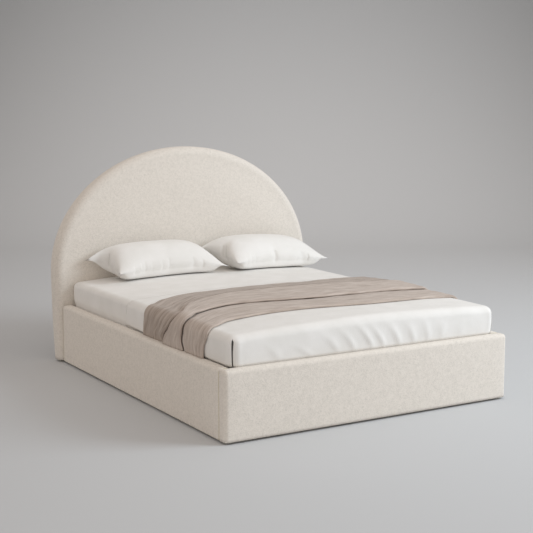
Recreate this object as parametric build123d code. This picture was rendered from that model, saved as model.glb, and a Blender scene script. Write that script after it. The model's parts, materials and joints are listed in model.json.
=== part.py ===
from build123d import *
from math import asin, atan2, cos, degrees, hypot, sin, sqrt
import os

# An upholstered storage bed with an arched headboard. The mattress platform lifts at its foot
# end on two pairs of steel arms, helped by two gas struts, and opens the box below it.
# Sizes are in millimetres. The origin is on the floor at the middle of the whole bed, X points
# right as seen from the foot, Y points to the head and Z up.

# Overall sizes
mattress_width = 1600.0
mattress_length = 1980.0
mattress_height = 239.7
mattress_side_gap = 12.0
mattress_head_gap = 15.0
mattress_foot_gap = 22.0
headboard_overhang = 35.0
headboard_foot_overhang = 20.0
headboard_height = 1316.0
headboard_thickness = 100.0
rail_height = 362.0
floor_gap = 12.0

# Shared clearances and helpers
overrun = 5.0
seam_gap = 0.5
soft_gap = 0.3
fixing_gap = 0.2
running_gap = 0.05
half_turn_angle = 180.0
quarter_turn_angle = half_turn_angle / 2

# Upholstered rails: cover, foam and timber core, measured inward from the outer face
cover_skin = 2.0
rail_side_foam = 31.0
rail_top_foam = 22.0
rail_core_thickness = 30.0
rail_edge_radius = 22.0
rail_hem_depth = 92.0
rail_tuck_width = 34.0
core_setback = cover_skin + rail_side_foam
rail_build_up = core_setback + rail_core_thickness
rail_thickness = rail_build_up + cover_skin
rail_core_base = floor_gap + cover_skin
rail_core_top = rail_height - cover_skin - rail_top_foam
rail_hem_z = rail_height - rail_hem_depth

# Places across and along the bed, from the mattress outwards
inside_x = mattress_width / 2 + mattress_side_gap
half_bed = inside_x + rail_build_up
base_length = mattress_head_gap + mattress_length + mattress_foot_gap + rail_build_up
foot_y = -(base_length + headboard_thickness) / 2
head_y = foot_y + base_length
back_y = head_y + headboard_thickness
inside_foot_y = foot_y + rail_build_up
side_rail_foot_y = foot_y + rail_thickness + seam_gap
rail_head_gap = 4.0
side_rail_head_y = head_y - rail_head_gap

# Headboard: arched board with straight sides that draw in slightly towards the floor
headboard_width = 2 * (half_bed + headboard_overhang)
headboard_foot_width = 2 * (half_bed + headboard_foot_overhang)
arch_spring_z = 560.0
headboard_front_radius = 52.0
headboard_back_radius = 10.0
headboard_side_foam = 20.0
headboard_core_thickness = 30.0
lining_thickness = 2.0
lining_inset = 12.0
headboard_tuck_width = 45.0
headboard_cover_back_y = back_y - lining_thickness
headboard_core_back_y = headboard_cover_back_y - cover_skin
headboard_core_front_y = headboard_core_back_y - headboard_core_thickness
headboard_core_inset = cover_skin + headboard_side_foam

# Inner head rail, which closes the storage box below the headboard
head_rail_thickness = 20.0
head_rail_top = 190.0
head_rail_y = head_y - head_rail_thickness

# Floor of the storage box
ledge_width = 20.0
ledge_height = 15.0
ledge_base = 6.0
centre_batten_width = 50.0
floor_panel_thickness = 9.0
floor_panel_count = 3
floor_panel_gap = 1.0
floor_ledge_top = ledge_base + ledge_height
floor_top = floor_ledge_top + floor_panel_thickness

# Glides under rails, headboard and centre batten
glide_radius = 10.0
batten_glide_radius = 18.0
rail_glide_setback = core_setback + rail_core_thickness / 2 + cover_skin
side_glide_shares = (-0.82, -0.28, 0.28, 0.82)
foot_glide_shares = (-0.70, 0.0, 0.70)
headboard_glide_shares = (-0.86, -0.29, 0.29, 0.86)
batten_glide_shares = (-0.75, 0.0, 0.75)

# Lifting frame of rectangular steel tube, with bowed slats in end holders
tube_width = 25.0
tube_height = 30.0
tube_wall = 2.0
centre_tube_width = 30.0
frame_drop = 104.0
frame_base = rail_height - frame_drop
frame_top = frame_base + tube_height
frame_side_gap = 24.0
frame_half_width = inside_x - frame_side_gap
frame_head_gap = 30.0
frame_head_y = head_y - frame_head_gap
mattress_head_y = head_y - mattress_head_gap
mattress_foot_y = mattress_head_y - mattress_length
frame_foot_y = mattress_foot_y
tube_inner_x = frame_half_width - tube_width
slat_count = 13
slat_width = 70.0
slat_thickness = 8.0
slat_bow = 12.0
slat_end_gap = 3.0
slat_end_rise = 8.0
slat_end_z = frame_base + slat_end_rise
holder_length = 25.0
holder_wall = 3.7
holder_rise = 2.3

# Ledges and rubber buffers that carry the closed platform
platform_ledge_width = 40.0
platform_ledge_height = 45.0
buffer_height = 8.0
buffer_width = 14.0
buffer_length = 60.0
buffer_top = frame_base - soft_gap
platform_ledge_top = buffer_top - buffer_height
platform_ledge_base = platform_ledge_top - platform_ledge_height
side_ledge_foot_y = inside_foot_y + platform_ledge_width
side_buffer_shares = (-0.81, 0.0, 0.81)
foot_buffer_shares = (-0.53, 0.53)

# Lift linkage: distances from the headboard's front face, and drops below the lifting frame
rear_arm_top_reach = 446.8
rear_arm_top_drop = 23.0
front_arm_top_reach = 542.6
front_arm_top_drop = 51.4
front_arm_hole_reach = 545.3
front_arm_hole_drop = 49.0
strut_top_reach = 390.0
strut_top_drop = 14.0

# Pivot places as (distance from the headboard's front face, height)
rear_arm_base_pivot = (721.4, 124.2)
front_arm_base_pivot = (970.9, 71.9)
strut_base_pivot = (525.0, 40.0)
rear_arm_top_pivot = (rear_arm_top_reach, frame_base - rear_arm_top_drop)
front_arm_top_pivot = (front_arm_top_reach, frame_base - front_arm_top_drop)
front_arm_top_hole = (front_arm_hole_reach, frame_base - front_arm_hole_drop)
strut_top_pivot = (strut_top_reach, frame_base - strut_top_drop)
arm_thickness = 5.0
rear_arm_half_width = 14.0
front_arm_half_width = 14.0
arm_pin_radius = 5.0
open_pivot_play = 3.7
open_hole_radius = arm_pin_radius + open_pivot_play + soft_gap
washer_radius = 9.0
wide_washer_radius = 12.5
ring_thickness = 1.0
ring_gap = 0.4
base_plate_thickness = 4.0
top_bracket_thickness = 4.0
base_plate_x = inside_x - base_plate_thickness
rear_arm_x = base_plate_x - 2.0 * ring_thickness - arm_thickness
front_arm_x = rear_arm_x - 2.0 * ring_thickness - arm_thickness
top_bracket_x = frame_half_width
plate_pivot_margin = 20.0
plate_strut_margin = 8.0
bracket_pivot_margin = 20.0
bracket_strut_margin = 12.0
bracket_tube_reach = 45.0
ledge_plate_gap = 59.1
plate_foot_y = head_y - front_arm_base_pivot[0] - plate_pivot_margin
side_ledge_head_y = plate_foot_y - ledge_plate_gap

# Gas struts
strut_pin_radius = 4.0
strut_eye_radius = 8.0
strut_eye_width = 9.0
strut_frame_inset = 15.0
strut_x = frame_half_width - strut_frame_inset
strut_shoulder_radius = 6.5
strut_tube_radius = 10.0
strut_bore_radius = 8.4
strut_tube_start = 16.0
strut_rod_show = 39.6
strut_piston_start = 54.6
strut_closed_length = hypot(
    strut_base_pivot[0] - strut_top_pivot[0], strut_base_pivot[1] - strut_top_pivot[1]
)
strut_tube_end = strut_closed_length - strut_rod_show
strut_rod_length = strut_closed_length - strut_piston_start
strut_end_wall = 4.0
strut_gland_depth = 6.0
strut_rod_radius = 4.0
strut_play = 0.65
piston_radius = 7.7
piston_thickness = 6.0
strut_neck_radius = 4.0

# Screws, bolts and corner brackets
screw_radius = 2.5
screw_length = 22.0
screw_head_radius = 5.0
screw_head_height = 2.0
bolt_radius = 4.0
bolt_length = 108.0
bolt_head_radius = 8.0
bolt_head_height = 5.0
bracket_thickness = 3.0
bracket_leg = 60.0
bracket_floor_gap = 30.0
bracket_ledge_gap = 24.7
bracket_base = floor_top + bracket_floor_gap
bracket_height = platform_ledge_base - bracket_ledge_gap - bracket_base
bracket_screw_share = 0.6
bracket_screw_shares = (0.2, 0.8)
head_bolt_shares = (-0.86, -0.31, 0.31, 0.86)
head_bolt_z = 110.0
plate_screw_shares = (0.18, 0.42, 0.66, 0.88)
plate_screw_drop = 6.0

# Mattress and bedding
mattress_base = frame_top + soft_gap
mattress_top = mattress_base + mattress_height
crown_radius = 12000.0
mattress_edge_radius = 34.0
mattress_corner_ease = 26.0
mattress_corner_radius = mattress_edge_radius + mattress_corner_ease
sheet_thickness = 2.4
spread_rise = 12.0
spread_top = mattress_top + spread_rise
spread_side_overhang = 22.0
spread_foot_overhang = 45.0
spread_edge_radius = 46.0
spread_corner_ease = 8.0
spread_corner_radius = spread_edge_radius + spread_corner_ease
spread_base = rail_height + 2.0 * soft_gap
spread_head_setback = 830.0
spread_head_y = head_y - spread_head_setback
throw_head_setback = 970.0
throw_width = 805.0
throw_head_y = head_y - throw_head_setback
throw_foot_y = throw_head_y - throw_width
throw_edge_thickness = 4.0
throw_base = rail_height + 8.0 * soft_gap
throw_crease_shares = (0.0, 0.20, 0.44, 0.66, 1.0)
throw_fold_heights = (13.0, 15.0, 14.0, 20.0)
throw_crease_height = 6.0

# Pillows: seam places as (distance from the headboard's front face, height above the sheet)
pillow_width = 735.0
pillow_pair_gap = 40.0
pillow_pair_shift = 90.0
pillow_front_tip = (345.0, 60.0)
pillow_rear_tip = (72.0, 140.0)
pillow_crest = (170.0, 208.0)
pillow_base_front = 285.0
pillow_base_rear = 105.0
pillow_under_gap = 1.0
pillow_edge = 7.0
pillow_end_shares = (-1.0, -0.80, -0.35, 0.35, 0.80, 1.0)
pillow_fullness_shares = (0.10, 0.72, 1.0, 1.0, 0.72, 0.10)

# Pull strap and mattress retainers at the foot of the platform
end_piece_gap = 0.5
strap_width = 32.0
strap_thickness = 2.5
strap_fold_gap = 1.5
strap_base_rise = 4.0
strap_top_drop = 12.0
strap_base = frame_base + strap_base_rise
strap_top = rail_height - strap_top_drop
retainer_bar_radius = 3.0
retainer_span = 240.0
retainer_share = 0.5
retainer_base_rise = 10.0
retainer_top_drop = 20.0
retainer_base = frame_base + retainer_base_rise
retainer_top = rail_height - retainer_top_drop
retainer_bend_radius = 20.0
anchor_height = 22.0
sheet_foot_y = mattress_foot_y - soft_gap - sheet_thickness


def save(name, pieces):
    """Write one sub-part as parts/name.step, from one solid or a list of them."""
    pieces = pieces if isinstance(pieces, list) else [pieces]
    solids = [solid for piece in pieces for solid in piece.solids()]
    shape = solids[0] if len(solids) == 1 else Compound(children=solids)
    export_step(shape, f"parts/{name}.step")


def block(x_range, y_range, z_range):
    """A box between two values on each axis."""
    sizes = [high - low for low, high in (x_range, y_range, z_range)]
    middle = [(high + low) / 2 for low, high in (x_range, y_range, z_range)]
    return Pos(*middle) * Box(*sizes)


def rod_x(x_range, y, z, radius):
    """A round bar along X."""
    length = x_range[1] - x_range[0]
    return Pos((x_range[0] + x_range[1]) / 2, y, z) * Rot(0, quarter_turn_angle, 0) * Cylinder(radius, length)


def rod_y(y_range, x, z, radius):
    """A round bar along Y."""
    length = y_range[1] - y_range[0]
    return Pos(x, (y_range[0] + y_range[1]) / 2, z) * Rot(quarter_turn_angle, 0, 0) * Cylinder(radius, length)


def rod_z(z_range, x, y, radius):
    """A round bar along Z."""
    length = z_range[1] - z_range[0]
    return Pos(x, y, (z_range[0] + z_range[1]) / 2) * Cylinder(radius, length)


def mirrored(shape):
    """The same shape on the bed's left side."""
    return mirror(shape, about=Plane.YZ)


def along_y(face, y_range):
    """Carry an outline drawn in X and Z from one Y to another."""
    return extrude(Plane.XZ.offset(-y_range[1]) * face, y_range[1] - y_range[0])


def along_x(face, x_range):
    """Carry an outline drawn in Y and Z from one X to another."""
    return extrude(Plane.YZ.offset(x_range[0]) * face, x_range[1] - x_range[0])


def place(pivot):
    """The (y, z) of a pivot that is given by its distance from the headboard's front face."""
    return (head_y - pivot[0], pivot[1])


def shares_between(low, high, shares):
    """Places at shares of the half length either side of the middle of a stretch."""
    return [(low + high) / 2 + share * (high - low) / 2 for share in shares]


# Screws and bolts: each is a point on the face it enters, its direction and its size
def fixing(point, direction, length, radius):
    """The shank of a screw or bolt, or the hole for it, from a point along a direction."""
    plane = Plane(origin=point, z_dir=direction)
    return plane * (Pos(0, 0, length / 2) * Cylinder(radius, length))


def fastener(point, direction, length, radius, head_radius, head_height):
    """A screw or bolt with a plain round head that sits on the face."""
    outward = [-value for value in direction]
    head = fixing(point, outward, head_height, head_radius)
    return head + fixing(point, direction, length, radius)


def drilled(shape, points, length, radius):
    """The shape with a clearance hole for each fixing."""
    for point, direction in points:
        shape = shape - fixing(point, direction, length + overrun, radius + fixing_gap)
    return shape


def corner_screw_points():
    """Screws of the four corner brackets: into the side rails, the foot rail and head rail."""
    side_points = []
    end_points = []
    reach = bracket_leg * bracket_screw_share
    for share in bracket_screw_shares:
        z = bracket_base + share * bracket_height
        for side in (-1, 1):
            side_x = side * (inside_x - bracket_thickness)
            end_x = side * (inside_x - reach)
            foot_face = inside_foot_y + bracket_thickness
            head_face = head_rail_y - bracket_thickness
            side_points.append(((side_x, inside_foot_y + reach, z), (side, 0, 0)))
            side_points.append(((side_x, head_rail_y - reach, z), (side, 0, 0)))
            end_points.append(((end_x, foot_face, z), (0, -1, 0)))
            end_points.append(((end_x, head_face, z), (0, 1, 0)))
    return side_points, end_points


def plate_screw_points():
    """Screws of the lift's base plates, in a line below the arms."""
    front_y, front_z = place(front_arm_base_pivot)
    strut_y, strut_z = place(strut_base_pivot)
    points = []
    for share in plate_screw_shares:
        y = front_y + share * (strut_y - front_y)
        z = front_z + share * (strut_z - front_z) + plate_screw_drop * (share - 1)
        for side in (-1, 1):
            points.append(((side * base_plate_x, y, z), (side, 0, 0)))
    return points


def head_bolt_points():
    """Bolts through the head rail into the headboard's core."""
    places = shares_between(-inside_x, inside_x, head_bolt_shares)
    return [((x, head_rail_y, head_bolt_z), (0, 1, 0)) for x in places]


side_screws, end_screws = corner_screw_points()
plate_screws = plate_screw_points()
head_bolts = head_bolt_points()


# Upholstered rails
def rail_outline(inset):
    """A rail's section, inset evenly, with its outer face at X zero and rounded upper edges."""
    width = rail_thickness - 2 * inset
    height = rail_height - floor_gap - 2 * inset
    centre = (rail_thickness / 2, floor_gap + inset + height / 2)
    face = Pos(*centre) * Rectangle(width, height)
    return fillet(face.vertices().group_by(Axis.Y)[-1], rail_edge_radius - inset)


def rail_core_outline():
    """The timber core's section."""
    height = rail_core_top - rail_core_base
    centre = (core_setback + rail_core_thickness / 2, rail_core_base + height / 2)
    return Pos(*centre) * Rectangle(rail_core_thickness, height)


def rail_cover_outline():
    """The cover's section: outer skin, inner hem and a tuck under the rail."""
    skin = rail_outline(0) - rail_outline(cover_skin)
    bare_height = rail_hem_z - floor_gap
    bare_x = rail_thickness - cover_skin / 2
    bare_inside = Pos(bare_x, floor_gap + bare_height / 2) * Rectangle(cover_skin, bare_height)
    open_width = rail_thickness - cover_skin - rail_tuck_width
    open_x = rail_thickness - open_width / 2
    open_base = Pos(open_x, floor_gap + cover_skin / 2) * Rectangle(open_width, cover_skin)
    return skin - bare_inside - open_base


def left_rail(outline):
    """A side rail's piece, from the foot rail to the headboard."""
    solid = along_y(outline, (side_rail_foot_y, side_rail_head_y))
    return Pos(-half_bed, 0, 0) * solid


def side_rails():
    """Core, foam and cover of both side rails."""
    pieces = {"core": left_rail(rail_core_outline())}
    pieces["foam"] = left_rail(rail_outline(cover_skin) - rail_core_outline())
    pieces["cover"] = left_rail(rail_cover_outline())
    for kind, left in pieces.items():
        right = mirrored(left)
        if kind == "core":
            left = drilled(left, side_screws + plate_screws, screw_length, screw_radius)
            right = drilled(right, side_screws + plate_screws, screw_length, screw_radius)
        save(f"left_rail_{kind}", left)
        save(f"right_rail_{kind}", right)


def foot_rail_block(inset):
    """The foot rail's outside, inset evenly, rounded on its upper and foot corner edges."""
    half = half_bed - inset
    foot = foot_y + inset
    solid = block(
        (-half, half),
        (foot, foot_y + rail_thickness - inset),
        (floor_gap + inset, rail_height - inset),
    )
    top_edges = solid.edges().group_by(Axis.Z)[-1]
    corner_edges = solid.edges().filter_by(Axis.Z).group_by(Axis.Y)[0]
    return fillet(top_edges + corner_edges, rail_edge_radius - inset)


def foot_rail():
    """Core, foam and cover of the foot rail, which runs the whole width."""
    core = block(
        (core_setback - half_bed, half_bed - core_setback),
        (foot_y + core_setback, inside_foot_y),
        (rail_core_base, rail_core_top),
    )
    inner = foot_rail_block(cover_skin)
    bare_inside = block(
        (-inside_x, inside_x),
        (inside_foot_y, inside_foot_y + overrun),
        (floor_gap - overrun, rail_hem_z),
    )
    tuck = cover_skin + rail_tuck_width
    open_base = block(
        (tuck - half_bed, half_bed - tuck),
        (foot_y + tuck, inside_foot_y + overrun),
        (floor_gap - overrun, rail_core_base),
    )
    save("foot_rail_cover", foot_rail_block(0) - inner - bare_inside - open_base)
    save("foot_rail_foam", inner - core)
    save("foot_rail_core", drilled(core, end_screws, screw_length, screw_radius))


# Headboard
def arch_outline(inset, base_inset):
    """The headboard's outline: half an ellipse on sides that draw in along an arc."""
    half = headboard_width / 2 - inset
    rise = headboard_height - arch_spring_z - inset
    foot_half = headboard_foot_width / 2 - inset
    base = floor_gap + base_inset
    right_foot = (foot_half, base)
    left_foot = (-foot_half, base)
    edges = [
        Line(left_foot, right_foot),
        TangentArc((half, arch_spring_z), right_foot, tangent=(0, -1)),
        EllipticalCenterArc((0, arch_spring_z), half, rise, 0, arc_size=half_turn_angle),
        TangentArc((-half, arch_spring_z), left_foot, tangent=(0, -1)),
    ]
    return make_face(edges)


def headboard_block(inset, y_range, front_radius, back_radius):
    """The headboard's outside, inset evenly, with rounded front and back edges."""
    solid = along_y(arch_outline(inset, inset), y_range)
    base_z = floor_gap + inset
    faces = solid.faces().filter_by(Axis.Y).sort_by(Axis.Y)
    front = [edge for edge in faces[0].edges() if edge.center().Z > base_z + overrun]
    solid = fillet(front, front_radius)
    back_face = solid.faces().filter_by(Axis.Y).sort_by(Axis.Y)[-1]
    back = [edge for edge in back_face.edges() if edge.center().Z > base_z + overrun]
    return fillet(back, back_radius)


def headboard():
    """Core, foam, cover and back lining of the headboard."""
    outer = headboard_block(
        0, (head_y, headboard_cover_back_y), headboard_front_radius, headboard_back_radius
    )
    inner = headboard_block(
        cover_skin,
        (head_y + cover_skin, headboard_core_back_y),
        headboard_front_radius - cover_skin,
        headboard_back_radius - cover_skin,
    )
    back_opening = along_y(
        arch_outline(headboard_tuck_width, headboard_tuck_width),
        (headboard_core_front_y, headboard_cover_back_y + overrun),
    )
    core = along_y(
        arch_outline(headboard_core_inset, cover_skin),
        (headboard_core_front_y, headboard_core_back_y),
    )
    lining = along_y(arch_outline(lining_inset, lining_inset), (headboard_cover_back_y, back_y))
    save("headboard_cover", drilled(outer - inner - back_opening, head_bolts, bolt_length, bolt_radius))
    save("headboard_foam", drilled(inner - core, head_bolts, bolt_length, bolt_radius))
    save("headboard_core", drilled(core, head_bolts, bolt_length, bolt_radius))
    save("headboard_back_lining", lining)


def head_rail():
    """The plain board that closes the storage box at its head."""
    board = block((-inside_x, inside_x), (head_rail_y, head_y), (rail_core_base, head_rail_top))
    board = drilled(board, head_bolts, bolt_length, bolt_radius)
    save("head_rail", drilled(board, end_screws, screw_length - overrun, screw_radius))


# Floor of the storage box
def storage_floor():
    """Ledges round the box, a centre batten and the loose floor panels."""
    z_range = (ledge_base, floor_ledge_top)
    y_range = (inside_foot_y, head_rail_y)
    right = block((inside_x - ledge_width, inside_x), y_range, z_range)
    across = (ledge_width - inside_x, inside_x - ledge_width)
    foot = block(across, (inside_foot_y, inside_foot_y + ledge_width), z_range)
    head = block(across, (head_rail_y - ledge_width, head_rail_y), z_range)
    save("floor_ledges", [mirrored(right), right, foot, head])
    half = centre_batten_width / 2
    batten_y = (inside_foot_y + ledge_width, head_rail_y - ledge_width)
    save("centre_batten", block((-half, half), batten_y, z_range))
    pitch = (head_rail_y - inside_foot_y) / floor_panel_count
    for index, name in enumerate(("foot", "middle", "head")):
        low = inside_foot_y + index * pitch + floor_panel_gap / 2
        panel = block(
            (floor_panel_gap - inside_x, inside_x - floor_panel_gap),
            (low, low + pitch - floor_panel_gap),
            (floor_ledge_top, floor_top),
        )
        save(f"floor_panel_{name}", panel)


def floor_glides():
    """Plastic glides that the bed stands on."""
    glides = []
    rail_x = half_bed - rail_glide_setback
    for y in shares_between(side_rail_foot_y, side_rail_head_y, side_glide_shares):
        for x in (-rail_x, rail_x):
            glides.append(rod_z((0, rail_core_base), x, y, glide_radius))
    for x in shares_between(-half_bed, half_bed, foot_glide_shares):
        glides.append(rod_z((0, rail_core_base), x, foot_y + rail_glide_setback, glide_radius))
    core_y = (headboard_core_front_y + headboard_core_back_y) / 2
    half = headboard_foot_width / 2
    for x in shares_between(-half, half, headboard_glide_shares):
        glides.append(rod_z((0, floor_gap), x, core_y, glide_radius))
    for y in shares_between(inside_foot_y, head_rail_y, batten_glide_shares):
        glides.append(rod_z((0, ledge_base), 0, y, batten_glide_radius))
    save("floor_glides", glides)


# Brackets and fasteners of the base
def corner_bracket():
    """The right foot corner's bracket: an angle of bent steel strip."""
    z_range = (bracket_base, bracket_base + bracket_height)
    low_x = inside_x - bracket_leg
    side_leg = block(
        (inside_x - bracket_thickness, inside_x),
        (inside_foot_y, inside_foot_y + bracket_leg),
        z_range,
    )
    end_leg = block((low_x, inside_x), (inside_foot_y, inside_foot_y + bracket_thickness), z_range)
    return side_leg + end_leg


def base_hardware():
    """Corner brackets, their screws and the bolts to the headboard."""
    foot_right = corner_bracket()
    middle_y = (inside_foot_y + head_rail_y) / 2
    head_right = mirror(foot_right, about=Plane.XZ.offset(-middle_y))
    brackets = [foot_right, mirrored(foot_right), head_right, mirrored(head_right)]
    screws = side_screws + end_screws
    brackets = [
        drilled(bracket, screws, bracket_thickness, screw_radius) for bracket in brackets
    ]
    save("corner_brackets", brackets)
    long_screws = [
        fastener(*point, screw_length, screw_radius, screw_head_radius, screw_head_height)
        for point in side_screws + plate_screws
    ]
    short_length = screw_length - overrun
    short_screws = [
        fastener(*point, short_length, screw_radius, screw_head_radius, screw_head_height)
        for point in end_screws
    ]
    save("frame_screws", long_screws + short_screws)
    bolts = [
        fastener(*point, bolt_length, bolt_radius, bolt_head_radius, bolt_head_height)
        for point in head_bolts
    ]
    save("headboard_bolts", bolts)


def platform_supports():
    """Timber ledges along the foot half of the box and rubber buffers on them."""
    z_range = (platform_ledge_base, platform_ledge_top)
    low_x = inside_x - platform_ledge_width
    right = block((low_x, inside_x), (side_ledge_foot_y, side_ledge_head_y), z_range)
    foot = block((-inside_x, inside_x), (inside_foot_y, side_ledge_foot_y), z_range)
    save("platform_ledges", [mirrored(right), right, foot])
    pads = []
    pad_z = (platform_ledge_top, buffer_top)
    pad_x = (frame_half_width - buffer_width, frame_half_width)
    for y in shares_between(side_ledge_foot_y, side_ledge_head_y, side_buffer_shares):
        pad = block(pad_x, (y - buffer_length / 2, y + buffer_length / 2), pad_z)
        pads.append(pad)
        pads.append(mirrored(pad))
    for x in shares_between(-frame_half_width, frame_half_width, foot_buffer_shares):
        pad_y = (frame_foot_y, frame_foot_y + buffer_width)
        pads.append(block((x - buffer_length / 2, x + buffer_length / 2), pad_y, pad_z))
    save("platform_buffers", pads)


# Lift linkage
def disc_edges(pivot, radius):
    """A circle round a pivot, in the plane of the arms."""
    y, z = place(pivot)
    return (Pos(y, z) * Circle(radius)).edges()


def base_plate():
    """The right base plate, a flat plate round its three pivots."""
    edges = disc_edges(rear_arm_base_pivot, plate_pivot_margin)
    edges += disc_edges(front_arm_base_pivot, plate_pivot_margin)
    edges += disc_edges(strut_base_pivot, plate_strut_margin)
    return along_x(make_hull(edges), (base_plate_x, inside_x))


def base_pins():
    """The right base plate's three fixed pins, with shoulders and retaining rings."""
    y, z = place(rear_arm_base_pivot)
    rear_low = rear_arm_x - ring_gap - ring_thickness
    rear = rod_x((rear_low, base_plate_x), y, z, arm_pin_radius)
    rear += rod_x((rear_low, rear_low + ring_thickness), y, z, washer_radius)
    rear_shoulder = rear_arm_x + arm_thickness + ring_gap
    rear += rod_x((rear_shoulder, base_plate_x), y, z, washer_radius)
    y, z = place(front_arm_base_pivot)
    front_low = front_arm_x - ring_gap - ring_thickness
    front = rod_x((front_low, base_plate_x), y, z, arm_pin_radius)
    front += rod_x((front_low, front_low + ring_thickness), y, z, washer_radius)
    front_shoulder = front_arm_x + arm_thickness + ring_gap
    front += rod_x((front_shoulder, base_plate_x), y, z, washer_radius)
    return [rear, front, strut_pin(strut_base_pivot, base_plate_x)]


def strut_pin(pivot, plate_x):
    """A pin for a strut's eye, with a shoulder on the plate's side and a ring at its tip."""
    y, z = place(pivot)
    eye_low = strut_x - strut_eye_width / 2
    eye_high = strut_x + strut_eye_width / 2
    low = eye_low - ring_gap - ring_thickness
    pin = rod_x((low, plate_x), y, z, strut_pin_radius)
    pin += rod_x((low, low + ring_thickness), y, z, strut_shoulder_radius)
    return pin + rod_x((eye_high + ring_gap, plate_x), y, z, strut_shoulder_radius)


def arm(pivot, tip, half_width, x_low, pivot_hole, tip_hole):
    """A flat steel arm with round ends and a hole at each end."""
    y0, z0 = place(pivot)
    y1, z1 = place(tip)
    length = hypot(y1 - y0, z1 - z0)
    angle = degrees(atan2(z1 - z0, y1 - y0))
    bar = SlotCenterToCenter(length, 2 * half_width)
    bar = bar - Pos(-length / 2, 0) * Circle(pivot_hole) - Pos(length / 2, 0) * Circle(tip_hole)
    face = Pos((y0 + y1) / 2, (z0 + z1) / 2) * Rot(0, 0, angle) * bar
    return along_x(face, (x_low, x_low + arm_thickness))


def top_bracket():
    """The right bracket on the platform's side tube, a plate round its three pivots."""
    strut_y, _ = place(strut_top_pivot)
    front_y, _ = place(front_arm_top_pivot)
    reach = bracket_tube_reach
    top_y = (front_y - reach, strut_y + reach)
    seat = Pos((top_y[0] + top_y[1]) / 2, frame_base + tube_height / 2)
    edges = (seat * Rectangle(top_y[1] - top_y[0], tube_height)).edges()
    edges += disc_edges(rear_arm_top_pivot, bracket_pivot_margin)
    edges += disc_edges(front_arm_top_pivot, bracket_pivot_margin)
    edges += disc_edges(strut_top_pivot, bracket_strut_margin)
    return along_x(make_hull(edges), (top_bracket_x, top_bracket_x + top_bracket_thickness))


def top_pins():
    """The right top bracket's three pins. The front arm's one has play in its hole."""
    plate_face = top_bracket_x + top_bracket_thickness
    y, z = place(rear_arm_top_pivot)
    rear_high = rear_arm_x + arm_thickness + ring_gap + ring_thickness
    rear = rod_x((plate_face, rear_high), y, z, arm_pin_radius)
    rear += rod_x((rear_high - ring_thickness, rear_high), y, z, washer_radius)
    rear += rod_x((plate_face, rear_arm_x - ring_gap), y, z, washer_radius)
    y, z = place(front_arm_top_pivot)
    front_high = front_arm_x + arm_thickness + ring_gap + ring_thickness
    front = rod_x((plate_face, front_high), y, z, arm_pin_radius)
    front += rod_x((front_high - ring_thickness, front_high), y, z, wide_washer_radius)
    front += rod_x((plate_face, front_arm_x - ring_gap), y, z, wide_washer_radius)
    return [rear, front, strut_pin(strut_top_pivot, top_bracket_x)]


def strut_plane(pivot):
    """A plane at a strut pivot whose Z axis runs from the lower pivot to the upper one."""
    y0, z0 = place(strut_base_pivot)
    y1, z1 = place(strut_top_pivot)
    y, z = place(pivot)
    return Plane(origin=(strut_x, y, z), x_dir=(1, 0, 0), z_dir=(0, y1 - y0, z1 - z0))


def strut_eye():
    """The ring at a strut's end, before its hole."""
    return Rot(0, quarter_turn_angle, 0) * Cylinder(strut_eye_radius, strut_eye_width)


def strut_hole():
    """The hole through a strut's eye."""
    return Rot(0, quarter_turn_angle, 0) * Cylinder(strut_pin_radius + running_gap, strut_eye_width + overrun)


def upright(low, high, radius):
    """A round bar on the strut's own axis, between two distances from its pivot."""
    return Pos(0, 0, (low + high) / 2) * Cylinder(radius, high - low)


def strut_cylinder():
    """The right strut's cylinder: eye, neck, bored tube and end gland."""
    body = strut_eye() + upright(0, strut_tube_start + strut_end_wall, strut_neck_radius)
    body += upright(strut_tube_start, strut_tube_end, strut_tube_radius)
    bore_end = strut_tube_end - strut_gland_depth
    body -= upright(strut_tube_start + strut_end_wall, bore_end, strut_bore_radius)
    body -= upright(bore_end - overrun, strut_tube_end + overrun, strut_rod_radius + strut_play)
    return strut_plane(strut_base_pivot) * (body - strut_hole())


def strut_rod():
    """The right strut's rod: eye, rod and piston."""
    body = strut_eye() + upright(-strut_rod_length, 0, strut_rod_radius)
    body += upright(-strut_rod_length, piston_thickness - strut_rod_length, piston_radius)
    return strut_plane(strut_top_pivot) * (body - strut_hole())


def save_pair(name, right):
    """Write the right piece and its mirror image on the left."""
    pieces = right if isinstance(right, list) else [right]
    save(f"right_{name}", pieces)
    save(f"left_{name}", [mirrored(piece) for piece in pieces])


def lift_linkage():
    """Plates, pins, arms and struts on both sides."""
    plate = drilled(base_plate(), plate_screws, base_plate_thickness, screw_radius)
    save_pair("lift_base_plate", plate)
    save_pair("lift_base_pins", base_pins())
    save_pair("lift_top_bracket", top_bracket())
    save_pair("lift_top_pins", top_pins())
    hole = arm_pin_radius + running_gap
    rear = arm(rear_arm_base_pivot, rear_arm_top_pivot, rear_arm_half_width, rear_arm_x, hole, hole)
    save_pair("rear_arm", rear)
    front = arm(
        front_arm_base_pivot,
        front_arm_top_hole,
        front_arm_half_width,
        front_arm_x,
        hole,
        open_hole_radius,
    )
    save_pair("front_arm", front)
    save_pair("strut_cylinder", strut_cylinder())
    save_pair("strut_rod", strut_rod())


# Lifting frame and slats
def tube_y(x_range, y_range):
    """A rectangular tube along Y, open at its ends."""
    z_range = (frame_base, frame_top)
    hollow = block(
        (x_range[0] + tube_wall, x_range[1] - tube_wall),
        (y_range[0] - overrun, y_range[1] + overrun),
        (z_range[0] + tube_wall, z_range[1] - tube_wall),
    )
    return block(x_range, y_range, z_range) - hollow


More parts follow.
